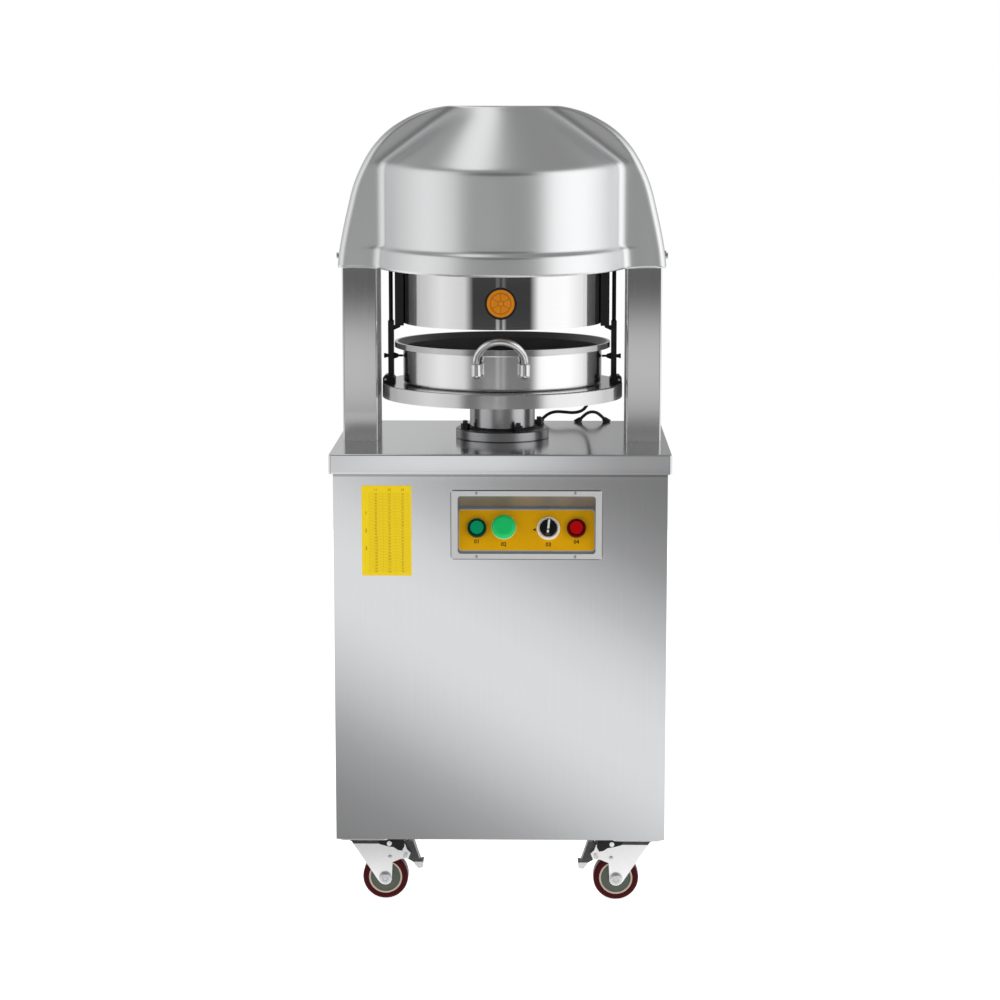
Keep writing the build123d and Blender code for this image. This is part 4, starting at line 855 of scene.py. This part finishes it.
BADGE_Z = 0.989
BADGE_FACE_R = 0.0222
SPOKE_PAIRS = 3.0
SPOKE_HALF = 0.0016
SPOKE_END = 0.0160
HUB_LINE = (0.0045, 0.0006)
WHEEL_LINE = (0.0165, 0.0007)
badge, spot = fresh("badge_enamel")
badge_x, _, badge_z = spot.split()
badge_up = badge_z - BADGE_Z
badge_r = reach(badge_x, badge_up)
swing = (badge_x.math("ARCTAN2", badge_up) * SPOKE_PAIRS).math("SINE")
spokes = 1 - (swing.size() * badge_r).above(SPOKE_HALF)
motif = spokes * badge_r.above(HUB_LINE[0]) * (1 - badge_r.above(SPOKE_END))
for radius, half in (WHEEL_LINE, HUB_LINE):
    motif = motif.most(1 - (badge_r - radius).size().above(half))
glaze = noise(spot, scale=120.0)
enamel = tint(glaze, rgb(0.71, 0.22, 0.0), rgb(0.79, 0.26, 0.001))
enamel = tint(motif * 0.75, enamel, rgb(0.26, 0.08, 0.004))
finish(badge, Base_Color=tint(badge_r.above(BADGE_FACE_R), enamel, grey(0.012)),
       Roughness=between(glaze, 0.26, 0.34), Specular_IOR_Level=0.25)
dress(badge, "badge")


# The hood: one pressed stainless shell with a satin finish. A drum with a skirt below and a cone above runs
# into two flat wings under an arch, and screws through the wings hold it to the posts.
HOOD_DEPTH = 66.0
HOOD_CORNER = 14.0
HOOD_BLEND = 34.0
HOOD_SHEET = 0.002
ARCH = [(272, 1010), (270.5, 1043), (266.5, 1076), (255, 1131), (239.5, 1186), (210, 1239), (167, 1277),
        (103, 1301), (0, 1304), (-103, 1301)]
ARCH_PARTS = 14

# Rows of the drum and cone: a radius and a height in millimetres, and how far the row tilts in degrees.
SKIRT = (214, 1041.4, 2.0)
SKIRT_TOP = (212, 1073, 2.2)
DRUM = (205, 1079, 2.2)
SEAM = (205, 1212, 3.4)
CAP = (84, 1303, 0.5)
CAP_MIDDLE = (50, 1303, 0.0)
CAP_RINGS = (0.9, 0.6, 0.3)
CORNER_PARTS = 6


def mixed(first, second, share):
    return tuple(a + (b - a) * share for a, b in zip(first, second))


def arch_points():
    """The arch as a smooth line through its points, each (half width, height)."""
    line = []
    for before, first, second, after in zip(ARCH, ARCH[1:], ARCH[2:], ARCH[3:]):
        for part in range(ARCH_PARTS):
            t = part / ARCH_PARTS
            line.append(tuple(
                b + 0.5 * t * (c - a + t * (2 * a - 5 * b + 4 * c - d + t * (3 * (b - c) + d - a)))
                for a, b, c, d in zip(before, first, second, after)))
    return line + [ARCH[-2]]


arch_line = arch_points()


def half_width(height):
    """Half the arch's width at a height."""
    for lower, upper in zip(arch_line, arch_line[1:]):
        if height < upper[1]:
            share = max(0.0, (height - lower[1]) / (upper[1] - lower[1]))
            return lower[0] + (upper[0] - lower[0]) * share
    return 0.0


def eased_corner(before, corner, after, near):
    """Rows round a corner of the profile, within so near of it."""
    start = mixed(corner, before, near / sqrt((before[0] - corner[0]) ** 2 + (before[1] - corner[1]) ** 2))
    end = mixed(corner, after, near / sqrt((after[0] - corner[0]) ** 2 + (after[1] - corner[1]) ** 2))
    shares = [k / CORNER_PARTS for k in range(CORNER_PARTS + 1)]
    return [mixed(mixed(start, corner, share), mixed(corner, end, share), share) for share in shares]


def run(first, second, count, lean=1.0):
    """Rows between two others; a lean over 1 sets them closer towards the second."""
    return [mixed(first, second, 1 - (1 - k / (count + 1)) ** lean) for k in range(1, count + 1)]


skirt_corner = eased_corner(SKIRT, SKIRT_TOP, DRUM, near=3.5)
drum_corner = eased_corner(SKIRT_TOP, DRUM, SEAM, near=4.5)
seam_corner = eased_corner(DRUM, SEAM, CAP, near=9.0)
cap_corner = eased_corner(SEAM, CAP, CAP_MIDDLE, near=5.0)
hood_rows = [SKIRT] + run(SKIRT, skirt_corner[0], count=5) + skirt_corner + drum_corner
hood_rows += run(drum_corner[-1], seam_corner[0], count=16) + seam_corner
hood_rows += run(seam_corner[-1], cap_corner[0], count=34, lean=1.5) + cap_corner


def wing_reach(turn, width):
    """How far the wings reach in a direction: a rectangle with rounded corners, seen from above."""
    side, ahead = cos(turn), sin(turn)
    if width * ahead <= (HOOD_DEPTH - HOOD_CORNER) * side:
        return width / side
    if HOOD_DEPTH * side <= (width - HOOD_CORNER) * ahead:
        return HOOD_DEPTH / ahead
    middle = side * (width - HOOD_CORNER) + ahead * (HOOD_DEPTH - HOOD_CORNER)
    square = (width - HOOD_CORNER) ** 2 + (HOOD_DEPTH - HOOD_CORNER) ** 2
    return middle + sqrt(max(0.0, middle * middle - square + HOOD_CORNER ** 2))


NARROWEST = HOOD_CORNER + 1
WING_AHEAD = 0.26
JOINT_CLEAR = radians(2)
JOINT_SPAN = radians(5)


def quarter_turns(radius, height, tilt):
    """Angles of a row's points over a quarter turn, close at the wing's edge and where it meets the drum."""
    width = max(half_width(height - WING_AHEAD * radius * tan(radians(tilt))), NARROWEST)
    edge_start = atan2(HOOD_DEPTH - HOOD_CORNER, width)
    edge_end = atan2(HOOD_DEPTH, width - HOOD_CORNER)
    joint = max(asin(HOOD_DEPTH / radius), edge_end + JOINT_CLEAR)
    marks = [(0, edge_start, 6), (edge_start, edge_end, 8), (edge_end, joint, 18),
             (joint, joint + JOINT_SPAN, 10), (joint + JOINT_SPAN, pi / 2, 16)]
    turns = [first + (last - first) * k / count for first, last, count in marks for k in range(count)]
    return turns + [pi / 2]


hood_points = []
for radius, height, tilt in hood_rows:
    turns = quarter_turns(radius, height, tilt)
    half_ring = turns[:-1] + [pi - turn for turn in turns[:0:-1]]
    other_half = [pi + turn for turn in turns[:-1]] + [2 * pi - turn for turn in turns[:0:-1]]
    for turn in half_ring + other_half:
        level = height - radius * abs(sin(turn)) * tan(radians(tilt))
        wing = wing_reach(atan2(abs(sin(turn)), abs(cos(turn))), max(half_width(level), NARROWEST))
        overlap = max(0.0, HOOD_BLEND - abs(wing - radius))
        out = max(wing, radius) + overlap * overlap / (4 * HOOD_BLEND)
        hood_points.append(Vector((MM * out * cos(turn), MM * out * sin(turn), MM * level)))
hood_columns = len(hood_points) // len(hood_rows)
last_row = hood_points[-hood_columns:]
for share in CAP_RINGS:
    hood_points += [Vector((share * point.x, share * point.y, CAP[1] * MM)) for point in last_row]
hood_faces = banded(len(hood_rows) + len(CAP_RINGS), hood_columns)
hood_faces.append(range(len(hood_points) - hood_columns, len(hood_points)))
hood_satin = brushed("hood_satin", (0.70, 0.705, 0.71), roughness=0.32, stretch=(5, 5, 500), tone=0.008,
                     grain=0.0, spread=0.005)
hood = fitted("hood_shell", (hood_points, hood_faces), hood_satin, "machine")
sheet = hood.modifiers.new("sheet", "SOLIDIFY")
sheet.thickness = HOOD_SHEET
sheet.offset = -1.0
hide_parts("hood")


# The dough pan: spun steel with a flared lip and a dark inside. A chromed bow handle stands in two
# ferrules at its front.
BOWL_R = 0.1652
BOWL_FLOOR = 0.8468
MOUTH_R = 0.1752
MOUTH_FROM = 0.9056
LIP_SHADE_FROM = 0.9035
SPUN_GRAIN = (14, 14, 1500)
pan, spot = fresh("pan_metal")
pan_x, pan_y, pan_z = spot.split()
pan_r = reach(pan_x, pan_y)
# The inside, the bowl and the mouth within the lip, is darker, rougher and less metallic.
bowl = (1 - pan_r.above(BOWL_R)) * pan_z.above(BOWL_FLOOR)
mouth = (1 - pan_r.above(MOUTH_R)) * pan_z.above(MOUTH_FROM)
dark_inside = bowl.most(mouth)
spun = noise(spot, 1.0, LINE_DETAIL, SPUN_GRAIN)
# The outside of the lip is painted darker than the body: painted shade, as if the lip faced down towards the
# tray.
outside_with_lip_shade = tint(pan_z.above(LIP_SHADE_FROM), tint(spun, grey(0.71), grey(0.75)), grey(0.47))
finish(pan, Base_Color=tint(dark_inside, outside_with_lip_shade, tint(spun, grey(0.13), grey(0.19))),
       Metallic=between(dark_inside, 1.0, 0.75), Roughness=between(spun, 0.11, 0.17) + dark_inside * 0.22)
dress(pan, "pan")
chrome = brushed("handle_chrome", (0.64, 0.64, 0.64), roughness=0.18, stretch=(60, 60, 60), tone=0.02,
                 grain=0.0, spread=0.03)
dress(chrome, "pan_handle", "handle_ferrules")
